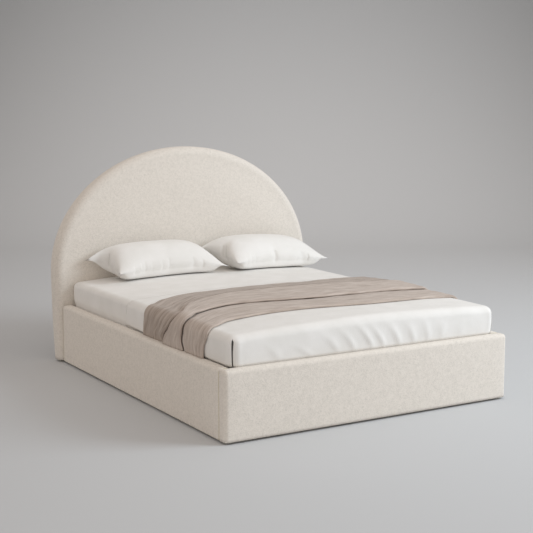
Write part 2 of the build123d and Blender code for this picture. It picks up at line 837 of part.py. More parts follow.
def tube_x(x_range, y_range):
    """A rectangular tube along X, open at its ends."""
    z_range = (frame_base, frame_top)
    hollow = block(
        (x_range[0] - overrun, x_range[1] + overrun),
        (y_range[0] + tube_wall, y_range[1] - tube_wall),
        (z_range[0] + tube_wall, z_range[1] - tube_wall),
    )
    return block(x_range, y_range, z_range) - hollow


def platform_frame():
    """The welded frame of five tubes."""
    side = tube_y((tube_inner_x, frame_half_width), (frame_foot_y, frame_head_y))
    save("frame_right_tube", side)
    save("frame_left_tube", mirrored(side))
    across = (-tube_inner_x, tube_inner_x)
    save("frame_head_tube", tube_x(across, (frame_head_y - tube_width, frame_head_y)))
    save("frame_foot_tube", tube_x(across, (frame_foot_y, frame_foot_y + tube_width)))
    half = centre_tube_width / 2
    centre_y = (frame_foot_y + tube_width, frame_head_y - tube_width)
    save("frame_centre_tube", tube_y((-half, half), centre_y))


def slat_places():
    """The Y of each slat's middle, evenly spaced along the frame."""
    low = frame_foot_y + tube_width
    high = frame_head_y - tube_width
    pitch = (high - low) / slat_count
    return [low + pitch * (index + 0.5) for index in range(slat_count)]


def slat(y):
    """One bowed slat of the right column."""
    low = centre_tube_width / 2 + slat_end_gap
    high = tube_inner_x - slat_end_gap
    middle = (low + high) / 2
    top_z = slat_end_z + slat_thickness
    edges = [
        ThreePointArc((low, slat_end_z), (middle, slat_end_z + slat_bow), (high, slat_end_z)),
        Line((high, slat_end_z), (high, top_z)),
        ThreePointArc((high, top_z), (middle, top_z + slat_bow), (low, top_z)),
        Line((low, top_z), (low, slat_end_z)),
    ]
    return along_y(make_face(edges), (y - slat_width / 2, y + slat_width / 2))


def slat_holder(x_range, y):
    """A plastic end holder with a pocket for the slat, on one tube's face."""
    half = slat_width / 2
    pocket_top = slat_end_z + slat_thickness + holder_rise
    outer = block(
        x_range,
        (y - half - holder_wall, y + half + holder_wall),
        (slat_end_z - holder_wall, pocket_top + holder_wall / 2),
    )
    pocket = block(
        (x_range[0] - overrun, x_range[1] + overrun),
        (y - half - soft_gap, y + half + soft_gap),
        (slat_end_z - soft_gap, pocket_top),
    )
    return outer - pocket


def slats():
    """Two columns of slats and the holders at their ends."""
    right = [slat(y) for y in slat_places()]
    save("right_slats", right)
    save("left_slats", [mirrored(piece) for piece in right])
    holders = []
    inner = centre_tube_width / 2
    for y in slat_places():
        holders.append(slat_holder((inner, inner + holder_length), y))
        holders.append(slat_holder((tube_inner_x - holder_length, tube_inner_x), y))
    save("slat_holders", holders + [mirrored(piece) for piece in holders])


def pull_strap():
    """A folded webbing loop at the middle of the foot tube, and the block that holds it."""
    rear_y = sheet_foot_y - end_piece_gap
    radius = strap_thickness + strap_fold_gap / 2
    middle_y = rear_y - radius
    straight_top = strap_top - radius
    outer = Pos(middle_y, (strap_base + straight_top) / 2) * Rectangle(
        2 * radius, straight_top - strap_base
    )
    outer += Pos(middle_y, straight_top) * Circle(radius)
    gap = Pos(middle_y, (strap_base + straight_top) / 2) * Rectangle(
        strap_fold_gap, straight_top - strap_base
    )
    gap += Pos(middle_y, straight_top) * Circle(strap_fold_gap / 2)
    half = strap_width / 2
    loop = along_x(outer - gap, (-half, half))
    anchor = block((-half, half), (rear_y, frame_foot_y), (strap_base, strap_base + anchor_height))
    save("pull_strap", [loop, anchor])


def retainer(centre_x):
    """A bent wire hoop on the foot tube that keeps the mattress in place."""
    y = sheet_foot_y - end_piece_gap - retainer_bar_radius
    half = retainer_span / 2
    corners = [
        (centre_x - half, y, retainer_base),
        (centre_x - half, y, retainer_top),
        (centre_x + half, y, retainer_top),
        (centre_x + half, y, retainer_base),
    ]
    path = FilletPolyline(*corners, radius=retainer_bend_radius)
    section = Plane(origin=corners[0], z_dir=(0, 0, 1)) * Circle(retainer_bar_radius)
    hoop = sweep(section, path)
    for x in (centre_x - half, centre_x + half):
        x_range = (x - retainer_bar_radius, x + retainer_bar_radius)
        z_range = (retainer_base, frame_top - end_piece_gap)
        hoop += block(x_range, (y, frame_foot_y), z_range)
    return hoop


def mattress_retainers():
    """The two hoops, either side of the pull strap."""
    half = mattress_width / 2
    places = shares_between(-half, half, (-retainer_share, retainer_share))
    save("mattress_retainers", [retainer(x) for x in places])


# Mattress and bedding
def crowned_edges(half_width, base, top, radius):
    """Outline of a soft block: upright sides, rounded corners and a slightly crowned top."""
    lean = asin((half_width - radius) / (crown_radius - radius))
    corner_x = (crown_radius - radius) * sin(lean)
    corner_z = top - crown_radius + (crown_radius - radius) * cos(lean)
    meet_x = crown_radius * sin(lean)
    meet_z = top - crown_radius + crown_radius * cos(lean)
    turn = (asin(1) - lean) / 2
    mid_x = corner_x + radius * cos(turn)
    mid_z = corner_z + radius * sin(turn)
    return [
        Line((-half_width, base), (-half_width, corner_z)),
        ThreePointArc((-half_width, corner_z), (-mid_x, mid_z), (-meet_x, meet_z)),
        ThreePointArc((-meet_x, meet_z), (0, top), (meet_x, meet_z)),
        ThreePointArc((meet_x, meet_z), (mid_x, mid_z), (half_width, corner_z)),
        Line((half_width, corner_z), (half_width, base)),
    ]


def soft_block(half_width, y_range, z_range, edge_radius, corner_radius, round_head):
    """A soft block with a crowned top, rounded along its sides, its ends and its corners."""
    base, top = z_range
    outline = crowned_edges(half_width, base, top, edge_radius)
    outline.append(Line((half_width, base), (-half_width, base)))
    across = along_y(make_face(outline), y_range)
    length = y_range[1] - y_range[0]
    middle = ((y_range[0] + y_range[1]) / 2, (base + top) / 2)
    profile = Rectangle(length, top - base)
    upper = profile.vertices().group_by(Axis.Y)[-1].sort_by(Axis.X)
    ends = upper if round_head else upper[:1]
    profile = Pos(*middle) * fillet(ends, edge_radius)
    along = along_x(profile, (-half_width, half_width))
    plan = Pos(0, middle[0]) * Rectangle(2 * half_width, length)
    corners = plan.vertices().group_by(Axis.Y)
    rounded = list(corners[0]) + (list(corners[-1]) if round_head else [])
    plan = fillet(rounded, corner_radius)
    upright_plan = extrude(Pos(0, 0, base) * plan, top - base)
    return across & along & upright_plan


def mattress_block(growth, base):
    """The mattress's outside, grown evenly on its sides and top."""
    half = mattress_width / 2 + growth
    y_range = (mattress_foot_y - growth, mattress_head_y + growth)
    edge = mattress_edge_radius + growth
    corner = mattress_corner_radius + growth
    return soft_block(half, y_range, (base, mattress_top + growth), edge, corner, True)


def spread_block():
    """The bedspread's outside, over the foot part of the mattress and the rails' inner edges."""
    half = mattress_width / 2 + spread_side_overhang
    y_range = (mattress_foot_y - spread_foot_overhang, spread_head_y)
    z_range = (spread_base, spread_top)
    return soft_block(half, y_range, z_range, spread_edge_radius, spread_corner_radius, False)


def throw_section():
    """The folded throw's section across its length: four soft folds with creases between."""
    low = soft_gap
    length = throw_head_y - throw_foot_y
    places = [throw_head_y - share * length for share in throw_crease_shares]
    inner = low + throw_edge_thickness
    heights = [inner] + [low + throw_crease_height] * (len(places) - 2) + [inner]
    points = list(zip(places, heights))
    edges = [Line((places[-1], low), (places[0], low)), Line((places[0], low), points[0])]
    for start, end, height in zip(points, points[1:], throw_fold_heights):
        middle = ((start[0] + end[0]) / 2, low + height)
        edges.append(ThreePointArc(start, middle, end))
    edges.append(Line(points[-1], (places[-1], low)))
    return make_face(edges)


def throw_blanket():
    """The throw, carried over the bedspread from one rail to the other."""
    half = mattress_width / 2 + spread_side_overhang
    edges = crowned_edges(half, throw_base, spread_top, spread_edge_radius)
    path = Plane.XZ * Wire(edges)
    start = Plane(origin=(-half, 0, throw_base), x_dir=(0, 1, 0), z_dir=(0, 0, 1))
    section = start * throw_section()
    return sweep(section, path)


def sheet_surface(x):
    """The height of the crowned sheet's top at a distance from the bed's middle."""
    grown = soft_gap + sheet_thickness
    return mattress_top + grown - crown_radius + sqrt(crown_radius**2 - x**2)


def pillow_section(x, fullness):
    """One upright section of a pillow, from a thin seam at its end to its full middle."""
    sheet_z = sheet_surface(x)
    front_y, front_z = head_y - pillow_front_tip[0], sheet_z + pillow_front_tip[1]
    rear_y, rear_z = head_y - pillow_rear_tip[0], sheet_z + pillow_rear_tip[1]
    crest_y, crest_z = head_y - pillow_crest[0], sheet_z + pillow_crest[1]
    seam_z = front_z + (rear_z - front_z) * (crest_y - front_y) / (rear_y - front_y)
    top_z = seam_z + pillow_edge + (crest_z - seam_z - pillow_edge) * fullness
    base_z = sheet_z + pillow_under_gap
    low_y = (head_y - pillow_base_front, head_y - pillow_base_rear)
    low_front = (
        front_y + (low_y[0] - front_y) * fullness,
        front_z - pillow_edge + (base_z - front_z + pillow_edge) * fullness,
    )
    low_rear = (
        rear_y + (low_y[1] - rear_y) * fullness,
        rear_z - pillow_edge + (base_z - rear_z + pillow_edge) * fullness,
    )
    edges = [
        Line(low_front, low_rear),
        Line(low_rear, (rear_y, rear_z)),
        ThreePointArc((rear_y, rear_z), (crest_y, top_z), (front_y, front_z)),
        Line((front_y, front_z), low_front),
    ]
    return Plane.YZ.offset(x) * make_face(edges)


def pillow(side):
    """One pillow, lofted through sections that are full in the middle. Side is -1 for the left one."""
    centre = pillow_pair_shift + side * (pillow_width + pillow_pair_gap) / 2
    sections = [
        pillow_section(centre + share * pillow_width / 2, fullness)
        for share, fullness in zip(pillow_end_shares, pillow_fullness_shares)
    ]
    return loft(sections, ruled=True)


def bedding():
    """Mattress, fitted sheet, bedspread, throw and pillows."""
    save("mattress", mattress_block(0, mattress_base))
    under_base = mattress_base - overrun
    hollow = mattress_block(soft_gap, under_base)
    sheet = mattress_block(soft_gap + sheet_thickness, mattress_base) - hollow
    save("fitted_sheet", sheet)
    covered = mattress_block(2 * soft_gap + sheet_thickness, under_base)
    save("bedspread", spread_block() - covered)
    save("throw_blanket", throw_blanket())
    save("left_pillow", pillow(-1))
    save("right_pillow", pillow(1))


def main():
    """Write every sub-part."""
    os.makedirs("parts", exist_ok=True)
    side_rails()
    foot_rail()
    headboard()
    head_rail()
    storage_floor()
    floor_glides()
    base_hardware()
    platform_supports()
    lift_linkage()
    platform_frame()
    slats()
    pull_strap()
    mattress_retainers()
    bedding()


main()
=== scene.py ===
import json
import math

import bpy
import numpy as np
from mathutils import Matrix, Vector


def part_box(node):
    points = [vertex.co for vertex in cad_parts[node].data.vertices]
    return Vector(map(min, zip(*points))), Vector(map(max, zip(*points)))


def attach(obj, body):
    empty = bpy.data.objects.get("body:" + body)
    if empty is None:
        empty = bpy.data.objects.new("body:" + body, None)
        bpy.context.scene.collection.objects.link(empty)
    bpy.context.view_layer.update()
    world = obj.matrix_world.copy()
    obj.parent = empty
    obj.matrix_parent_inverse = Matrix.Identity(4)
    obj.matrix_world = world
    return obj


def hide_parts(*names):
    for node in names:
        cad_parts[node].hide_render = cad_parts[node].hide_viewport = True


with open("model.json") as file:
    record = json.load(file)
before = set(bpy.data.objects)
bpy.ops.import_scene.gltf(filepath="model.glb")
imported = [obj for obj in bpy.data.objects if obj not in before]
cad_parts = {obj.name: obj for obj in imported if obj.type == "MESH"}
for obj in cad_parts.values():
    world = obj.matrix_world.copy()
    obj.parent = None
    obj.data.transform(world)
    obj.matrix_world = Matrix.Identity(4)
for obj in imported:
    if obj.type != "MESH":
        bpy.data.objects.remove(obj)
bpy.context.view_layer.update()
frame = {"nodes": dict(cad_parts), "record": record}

# Looks of an upholstered storage bed: boucle rails and arched headboard, a made bed with a
# bedspread, a folded throw and two pillows, on a lifting platform. Lengths are in metres.

# Places and sizes taken from the frame
board_low, board_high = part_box("headboard_cover")
foot_low, foot_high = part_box("foot_rail_cover")
side_low, side_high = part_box("right_rail_cover")
mattress_low, mattress_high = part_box("mattress")
sheet_low, sheet_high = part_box("fitted_sheet")
spread_low, spread_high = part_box("bedspread")
throw_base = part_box("throw_blanket")[0].z
board_front = board_low.y

# Mesh values: places nearer than this are one, a stop takes the place of what lies nearer than
# this, two guards against dividing by nothing, and each face of a box as its axis and its end
same_place = 1e-6
stop_reach = 1e-4
tiny = 1e-9
tiniest = 1e-12
face_ends = {
    "top": (2, -1), "under": (2, 0), "left": (0, 0), "right": (0, -1), "foot": (1, 0), "head": (1, -1),
}

# Rail sizes that the frame's boxes don't give
cover_thickness = 0.002
rail_edge = 0.022
rail_end_edge = 0.009
rail_bottom_edge = 0.004
rail_hem = 0.092
rail_tuck = 0.034
rail_face_puff = 0.003
rail_top_puff = 0.0015
rail_fullness = 0.7
rail_uneven = 0.0007
rail_fade = 0.09
foot_uneven = 0.0008
foot_fade = 0.10
rail_core = 0.03

# Headboard sizes that the frame's boxes don't give
board_foot_half = 0.895
board_spring = 0.560
board_front_edge = 0.052
board_back_edge = 0.010
board_tuck = 0.045
board_puff = 0.011
board_puff_reach = 0.20
board_uneven = 0.0009
board_core_half = 0.6
board_core_depth = 0.06
board_core_rise = 0.3

# Mattress and sheet sizes that the frame's boxes don't give
crown_radius = 12.0
core_half = 0.7
core_margin = 0.1
mattress_edge = 0.034
mattress_corner = 0.060
mattress_base_edge = 0.012
mattress_puff = 0.004
mattress_fullness = 0.6
piping_radius = 0.0035
piping_inset = 0.0045
piping_low_inset = 0.0065
piping_height = 0.018
sheet_growth = 0.0027
sheet_thickness = 0.0016
sheet_head_corner = 0.038
sheet_foot_corner = 0.072
sheet_bulge = 0.006
sheet_bulge_fade = 0.05
sheet_head_bulge = 0.011
head_bulge_start = 0.62
head_bulge_fade = 0.14
sheet_uneven = 0.0005
sheet_fold = 0.0006
fold_waves = 61.0
slow_fold_waves = 23.0
sheet_gather = 0.0009
gather_waves = 140.0
gather_reach = 0.16
crease_y = 0.655
crease_width = 0.007
crease_top = 0.42
crease_fade = 0.06
crease_depth = 0.0035
groove_offset = 0.008
groove_width = 0.005
groove_depth = 0.010
groove_fine_foot = 0.02
groove_fine_head = 0.05
elastic_height = 0.010
elastic_roll = 0.006


# Shader maths: a socket that carries a number, with Python's operators
class Number:
    """A node's output that carries a number. Each operator adds one Math node."""

    def __init__(self, paint, socket):
        self.paint = paint
        self.socket = socket

    def __add__(self, other):
        return self.paint.math("ADD", self, other)

    def __sub__(self, other):
        return self.paint.math("SUBTRACT", self, other)

    def __rsub__(self, other):
        return self.paint.math("SUBTRACT", other, self)

    def __mul__(self, other):
        return self.paint.math("MULTIPLY", self, other)

    def __pow__(self, other):
        return self.paint.math("POWER", self, other)

    __radd__ = __add__
    __rmul__ = __mul__


class Paint:
    """One material and the nodes that make it."""

    def __init__(self, name):
        self.material = bpy.data.materials.new(name)
        self.material.use_nodes = True
        self.tree = self.material.node_tree
        self.tree.nodes.clear()
        self.place = self.node("ShaderNodeTexCoord").outputs["Object"]

    def node(self, kind, settings=None, sockets=None):
        """Add a node: its type, its settings, then the values or links of its sockets."""
        node = self.tree.nodes.new(kind)
        for name, value in (settings or {}).items():
            setattr(node, name, value)
        for name, value in (sockets or {}).items():
            value = value.socket if isinstance(value, Number) else value
            if isinstance(value, bpy.types.NodeSocket):
                self.tree.links.new(value, node.inputs[name])
            else:
                node.inputs[name].default_value = value
        return node

    def math(self, operation, *values):
        """A Math node on numbers and values."""
        settings = {"operation": operation}
        return Number(self, self.node("ShaderNodeMath", settings, dict(enumerate(values))).outputs[0])

    def factor(self, kind, settings, sockets):
        """The number that a texture node gives."""
        node = self.node(kind, settings, sockets)
        return Number(self, node.outputs["Factor" if "Factor" in node.outputs else "Fac"])

    def noise(self, scale, detail=2.0, rough=0.5, place=None):
        """Soft noise from 0 to 1, with about scale blobs in a metre."""
        sockets = {"Vector": place or self.place, "Scale": scale, "Detail": detail}
        sockets["Roughness"] = rough
        return self.factor("ShaderNodeTexNoise", None, sockets)

    def cells(self, scale, place=None):
        """Distance to the nearest of many scattered points, scale of them in a metre."""
        sockets = {"Vector": place or self.place, "Scale": scale}
        return Number(self, self.node("ShaderNodeTexVoronoi", None, sockets).outputs["Distance"])

    def wave(self, scale, direction, place=None):
        """Bands across a direction, scale of them in about six metres."""
        settings = {"wave_type": "BANDS", "bands_direction": direction}
        sockets = {"Vector": place or self.place, "Scale": scale}
        return self.factor("ShaderNodeTexWave", settings, sockets)

    def stretched(self, scale, place=None):
        """The place with each axis scaled by its own factor."""
        sockets = {"Vector": place or self.place, "Scale": scale}
        return self.node("ShaderNodeMapping", None, sockets).outputs["Vector"]

    def turned(self, angle):
        """The place, turned about the upright axis."""
        sockets = {"Vector": self.place, "Rotation": (0.0, 0.0, angle)}
        return self.node("ShaderNodeMapping", None, sockets).outputs["Vector"]

    def pulled(self, amount, scale):
        """The place, shifted about by noise."""
        sockets = {"Vector": self.place, "Scale": scale, "Detail": 1.0}
        colour = self.node("ShaderNodeTexNoise", None, sockets).outputs["Color"]
        sockets = {0: colour, 1: (amount, amount, amount), 2: self.place}
        return self.node("ShaderNodeVectorMath", {"operation": "MULTIPLY_ADD"}, sockets).outputs[0]

    def parts(self, vector):
        """A vector's three numbers."""
        outputs = self.node("ShaderNodeSeparateXYZ", None, {0: vector}).outputs
        return [Number(self, output) for output in outputs]

    def finish(self, shade, stops, height=None, depth=0.0, strength=0.5, **sockets):
        """Close the material with its surface shader. Its colour follows the shade between the
        stops, each a position and a colour. Its bumps follow a height from 0 to 1, which stands
        for the depth."""
        ramp = self.node("ShaderNodeValToRGB", None, {0: shade})
        elements = ramp.color_ramp.elements
        while len(elements) < len(stops):
            elements.new(0.5)
        for element, (position, colour) in zip(elements, stops):
            element.position = position
            element.color = colour
        sockets["Base_Color"] = ramp.outputs["Color"]
        if height is not None:
            bump = {"Height": height, "Distance": depth, "Strength": strength}
            sockets["Normal"] = self.node("ShaderNodeBump", None, bump).outputs["Normal"]
        named = {name.replace("_", " "): value for name, value in sockets.items()}
        shader = self.node("ShaderNodeBsdfPrincipled", None, named)
        output = self.node("ShaderNodeOutputMaterial")
        self.tree.links.new(shader.outputs[0], output.inputs["Surface"])
        return self.material


def tone(red, green, blue):
    """A linear colour from its usual 0 to 255 values."""
    scaled = np.array([red, green, blue]) / 255
    linear = np.where(scaled <= 0.04045, scaled / 12.92, ((scaled + 0.055) / 1.055) ** 2.4)
    return (*linear, 1.0)


# Finishes
def boucle():
    """Cream looped wool: small knots in a warped scatter, with fine fuzz over them. Its colour is darker in
    the pits between the knots: painted shade.
    """
    paint = Paint("cream_boucle")
    knots = 1.0 - paint.cells(190.0, paint.pulled(0.005, 110.0))
    height = knots * 0.6 + paint.noise(700.0, 3.0, 0.6) * 0.4
    # Painted shade: the colour follows the knots' height, darker in the pits, with a slow random tone over
    # it
    shade = height * 0.6 + paint.noise(60.0) * 0.4
    stops = [(0.30, tone(213, 207, 198)), (0.55, tone(228, 221, 212)), (0.80, tone(237, 231, 223))]
    gloss = {"Sheen_Weight": 0.12, "Sheen_Roughness": 0.5, "Specular_IOR_Level": 0.2}
    return paint.finish(shade, stops, height, 0.0016, 0.45, Roughness=0.95, **gloss)


def cotton():
    """White percale: a close weave with a little softness."""
    paint = Paint("white_percale")
    weave = paint.wave(700.0, "X") * 0.5 + paint.wave(700.0, "Y") * 0.5
    height = paint.noise(28.0, 3.0, 0.55) * 0.85 + weave * 0.15
    stops = [(0.3, tone(230, 228, 224)), (0.7, tone(236, 234, 231))]
    gloss = {"Sheen_Weight": 0.10, "Sheen_Roughness": 0.4, "Specular_IOR_Level": 0.3}
    return paint.finish(paint.noise(9.0), stops, height, 0.0012, Roughness=0.82, **gloss)


def brushed_throw():
    """Taupe brushed wool: fine streaks that run along the throw's length. Beyond the ridge the colour is
    painted lighter, so that the band before it reads as shaded: painted light and shade."""
    paint = Paint("taupe_brushed_wool")
    along = paint.node("ShaderNodeUVMap").outputs["UV"]
    broad = paint.noise(1.0, 3.0, 0.6, paint.stretched((6.0, 48.0, 1.0), along))
    streaks = paint.noise(1.0, 3.0, 0.6, paint.stretched((14.0, 130.0, 1.0), along))
    threads = paint.noise(1.0, 2.0, 0.6, paint.stretched((70.0, 700.0, 1.0), along))
    height = broad * 0.60 + streaks * 0.25 + threads * 0.15
    # Painted light and shade: a lighter tone beyond the ridge, so the band before it looks shaded
    lit_beyond_ridge = paint.math("SMOOTH_MIN", paint.parts(along)[1] * 50.0 + 0.5, 1.0, 0.2)
    shade = height + paint.math("MAXIMUM", lit_beyond_ridge, 0.0) * 0.11
    stops = [(0.34, tone(140, 126, 115)), (0.59, tone(186, 173, 163)), (0.76, tone(208, 197, 188))]
    gloss = {"Sheen_Weight": 0.15, "Sheen_Roughness": 0.45, "Specular_IOR_Level": 0.2}
    return paint.finish(shade, stops, height, 0.002, 0.6, Roughness=0.9, **gloss)


def ticking():
    """The mattress's knitted ticking, with a small diamond quilting."""
    paint = Paint("mattress_ticking")
    slanted = paint.turned(math.radians(45.0))
    quilting = paint.wave(3.2, "X", slanted) * 0.5 + paint.wave(3.2, "Y", slanted) * 0.5
    height = quilting * 0.9 + paint.cells(420.0) * 0.1
    stops = [(0.1, tone(214, 211, 205)), (0.6, tone(229, 227, 223))]
    # Painted shade: the colour follows the quilting, darker in its sunken lines
    return paint.finish(quilting, stops, height, 0.004, 0.6, Roughness=0.85, Sheen_Weight=0.1)


def lining():
    """Grey non-woven cloth over the headboard's back, with small pressed dots."""
    paint = Paint("grey_lining_cloth")
    dots = paint.cells(240.0)
    shade = dots * 0.5 + paint.noise(60.0) * 0.5
    stops = [(0.2, tone(104, 101, 98)), (0.7, tone(128, 125, 121))]
    return paint.finish(shade, stops, dots, 0.0006, 0.6, Roughness=0.9, Sheen_Weight=0.1)


def foam():
    """Open-celled upholstery foam."""
    paint = Paint("upholstery_foam")
    pores = paint.cells(600.0)
    # Painted shade: the colour is darker in the pores, where the bumps sink
    stops = [(0.0, tone(196, 186, 158)), (0.6, tone(224, 217, 196))]
    return paint.finish(pores, stops, pores, 0.0008, 0.8, Roughness=0.95)


def wood(name, grain, dark, light, rings, rough):
    """Planed wood whose grain runs along one axis, as stretched noise and bands."""
    paint = Paint(name)
    along = paint.stretched(tuple(0.05 if axis == grain else 1.0 for axis in "XYZ"))
    figure = paint.noise(rings, 4.0, 0.6, along)
    fibres = paint.noise(rings * 14.0, 2.0, 0.5, along)
    height = fibres * 0.6 + figure * 0.4
    stops = [(0.32, tone(*dark)), (0.62, tone(*light))]
    rough = fibres * 0.2 + rough
    return paint.finish(figure * 0.75 + fibres * 0.25, stops, height, 0.0004, Roughness=rough)


def floor_board():
    """Light grey melamine board with a fine grained print."""
    paint = Paint("grey_melamine")
    grain = paint.noise(60.0, 3.0, 0.6, paint.stretched((0.06, 1.0, 1.0)))
    stops = [(0.3, tone(186, 183, 178)), (0.7, tone(205, 202, 197))]
    rough = grain * 0.15 + 0.42
    return paint.finish(grain, stops, paint.noise(900.0), 0.0002, 0.4, Roughness=rough)


def coated_steel():
    """Black powder-coated steel with a fine orange peel."""
    paint = Paint("black_powder_coat")
    peel = paint.noise(650.0)
    stops = [(0.3, tone(30, 30, 31)), (0.7, tone(40, 40, 41))]
    return paint.finish(paint.noise(30.0), stops, peel, 0.0003, Roughness=peel * 0.12 + 0.42)


def zinc_steel():
    """Zinc-plated steel with a faint spangle."""
    paint = Paint("zinc_plate")
    stops = [(0.0, tone(172, 174, 176)), (0.7, tone(196, 198, 200))]
    gloss = {"Metallic": 0.95, "Roughness": paint.noise(220.0) * 0.18 + 0.26}
    return paint.finish(paint.cells(160.0), stops, paint.noise(500.0), 0.0001, 0.4, **gloss)


def chrome():
    """The gas strut rod's polished chrome, with faint rub marks along it."""
    paint = Paint("polished_chrome")
    rubs = paint.noise(700.0, 2.0, 0.5, paint.stretched((1.0, 0.06, 0.06)))
    stops = [(0.2, tone(208, 210, 212)), (0.8, tone(224, 226, 228))]
    return paint.finish(rubs, stops, Metallic=1.0, Roughness=rubs * 0.08 + 0.06)


def moulded(name, dark, rough):
    """Dark moulded plastic or rubber with a fine eroded skin."""
    paint = Paint(name)
    skin = paint.noise(1100.0)
    stops = [(place, tone(shade, shade, shade)) for place, shade in ((0.3, dark), (0.7, dark + 9))]
    return paint.finish(paint.noise(45.0), stops, skin, 0.0002, Roughness=skin * 0.15 + rough)


def webbing():
    """Dark woven webbing with ribs along its length."""
    paint = Paint("dark_webbing")
    height = paint.wave(60.0, "X") * 0.6 + paint.wave(90.0, "Z") * 0.4
    # Painted shade: the colour follows the ribs' height, darker between them
    stops = [(0.2, tone(52, 48, 45)), (0.8, tone(82, 77, 72))]
    return paint.finish(height, stops, height, 0.0006, 0.8, Roughness=0.85, Sheen_Weight=0.1)


pine = ((196, 164, 120), (226, 200, 160), 26.0, 0.5)
birch = ((205, 182, 146), (231, 213, 184), 20.0, 0.38)
finishes = {
    "boucle_cover": boucle(),
    "foam": foam(),
    "timber": wood("pine_along_bed", "Y", *pine),
    "lining_cloth": lining(),
    "floor_board": floor_board(),
    "black_steel": coated_steel(),
    "bright_steel": zinc_steel(),
    "chrome_rod": chrome(),
    "black_plastic": moulded("black_plastic_moulding", 28, 0.4),
    "buffer_rubber": moulded("dark_rubber", 22, 0.65),
    "birch_slat": wood("birch_across_bed", "X", *birch),
    "webbing": webbing(),
    "mattress_ticking": ticking(),
    "white_cotton": cotton(),
    "throw_knit": brushed_throw(),
}
slots = {row["node"]: row["material_slot"] for row in frame["record"]["subparts"]}
pine_across = wood("pine_across_bed", "X", *pine)
across_nodes = ("foot_rail_core", "head_rail", "headboard_core")


def paint_nodes():
    """Give every node of the frame the finish of its slot."""
    for name, slot in slots.items():
        for material_slot in frame["nodes"][name].material_slots:
            material_slot.material = pine_across if name in across_nodes else finishes[slot]


# Mesh building
def quads(rows, columns, closed=False):
    """Corner numbers of a grid's quads, as one array. A closed grid closes both ways."""
    down, across = (np.arange(count if closed else count - 1) for count in (rows, columns))
    a, b = np.meshgrid(down, across, indexing="ij")
    a_next, b_next = (a + 1) % rows, (b + 1) % columns
    corners = [a * columns + b, a_next * columns + b, a_next * columns + b_next, a * columns + b_next]
    return np.stack(corners, -1).reshape(-1, 4)


def weld(points, faces):
    """Join points that share a place. Returns the kept points' numbers and the faces on them."""
    keys = np.round(points / same_place).astype(np.int64)
    _, first, inverse = np.unique(keys, axis=0, return_index=True, return_inverse=True)
    return first, inverse.reshape(-1)[faces]


def make_piece(name, node, body, grids, core=None, uv=None, tubes=()):
    """The piece that replaces a node, from grids of points, and from tubes, which are grids that
    close both ways. Where a box is given as core, each face is turned to point away from the
    box's nearest point."""
    grids = [(grid, False) for grid in grids] + [(grid, True) for grid in tubes]
    points = np.concatenate([grid.reshape(-1, 3) for grid, closed in grids])
    faces, start = [], 0
    for grid, closed in grids:
        faces.append(quads(*grid.shape[:2], closed) + start)
        start += grid.shape[0] * grid.shape[1]
    faces = np.concatenate(faces)
    if core is not None:
        corner = points[faces]
        centre = corner.mean(1)
        normal = np.cross(corner[:, 2] - corner[:, 0], corner[:, 3] - corner[:, 1])
        inward = np.einsum("ij,ij->i", normal, centre - np.clip(centre, *core)) < 0
        faces[inward] = faces[inward][:, ::-1]
    first, faces = weld(points, faces)
    uv = None if uv is None else uv.reshape(-1, 2)[first]
    return build(name, node, body, points[first], faces, uv)


def build(name, node, body, points, faces, uv=None):
    """Put points and quads into a mesh, quads with a shared corner as triangles. The piece rides on its
    body and takes its node's slot, and the node is hidden."""
    unique = (list(dict.fromkeys(face)) for face in faces.tolist())
    mesh = bpy.data.meshes.new(name)
    mesh.from_pydata(points.tolist(), [], [face for face in unique if len(face) > 2])
    mesh.polygons.foreach_set("use_smooth", np.ones(len(mesh.polygons), bool))
    if uv is not None:
        layer = mesh.uv_layers.new(name="UVMap")
        corner_of = np.zeros(len(mesh.loops), np.int32)
        mesh.loops.foreach_get("vertex_index", corner_of)
        layer.data.foreach_set("uv", uv[corner_of].astype(np.float32).ravel())
    slot = slots[node]
    mesh.materials.append(finishes[slot])
    mesh.update()
    piece = bpy.data.objects.new(name, mesh)
    bpy.context.scene.collection.objects.link(piece)
    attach(piece, body)
    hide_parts(node)
    return piece


def thicken(piece, thickness):
    """Give a sheet its thickness, on its inner side."""
    modifier = piece.modifiers.new("thickness", "SOLIDIFY")
    modifier.thickness = thickness
    modifier.offset = -1.0
    modifier.use_even_offset = False


def smooth_step(value):
    """0 below 0, 1 above 1, and a smooth rise between."""
    value = np.clip(value, 0.0, 1.0)
    return value * value * (3.0 - 2.0 * value)


def near(distance, reach):
    """1 at no distance, and a smooth fall to 0 at the reach."""
    return smooth_step(1.0 - distance / reach)


def bell(distance, width):
    """1 at no distance, and a fall to nothing over a few widths."""
    return np.exp(-((distance / width) ** 2))


def quarter(count):
    """The sines and cosines of a quarter turn's steps."""
    turn = np.linspace(0.0, math.pi / 2, count)
    return np.sin(turn), np.cos(turn)


def joined(runs):
    """A line from its runs, each as its coordinates, which are arrays or one value for all."""
    return np.concatenate([np.stack(np.broadcast_arrays(*run)) for run in runs], -1)


def bowed(share, power):
    """0 where the share is 0 or 1, and 1 halfway. A small power makes it fuller."""
    return np.abs(np.sin(math.pi * np.clip(share, 0, 1))) ** power


def spaced(low, high, edge, fine, coarse):
    """Places from low to high, close together within edge of both ends."""
    steps = np.linspace(0.0, edge, fine + 1)[:-1]
    middle = np.linspace(low + edge, high - edge, coarse + 1)
    return np.concatenate([low + steps, middle, (high - steps)[::-1]])


def rising(low, high, edge, coarse, fine):
    """Places from low to high, close together within edge of the high end."""
    return np.concatenate([np.linspace(low, high - edge, coarse), np.linspace(high - edge, high, fine)[1:]])


def through(places, *stops):
    """The places with some more that the grid has to pass through."""
    far = [place for place in places if min(abs(place - stop) for stop in stops) > stop_reach]
    return np.sort(np.concatenate([far, stops]))


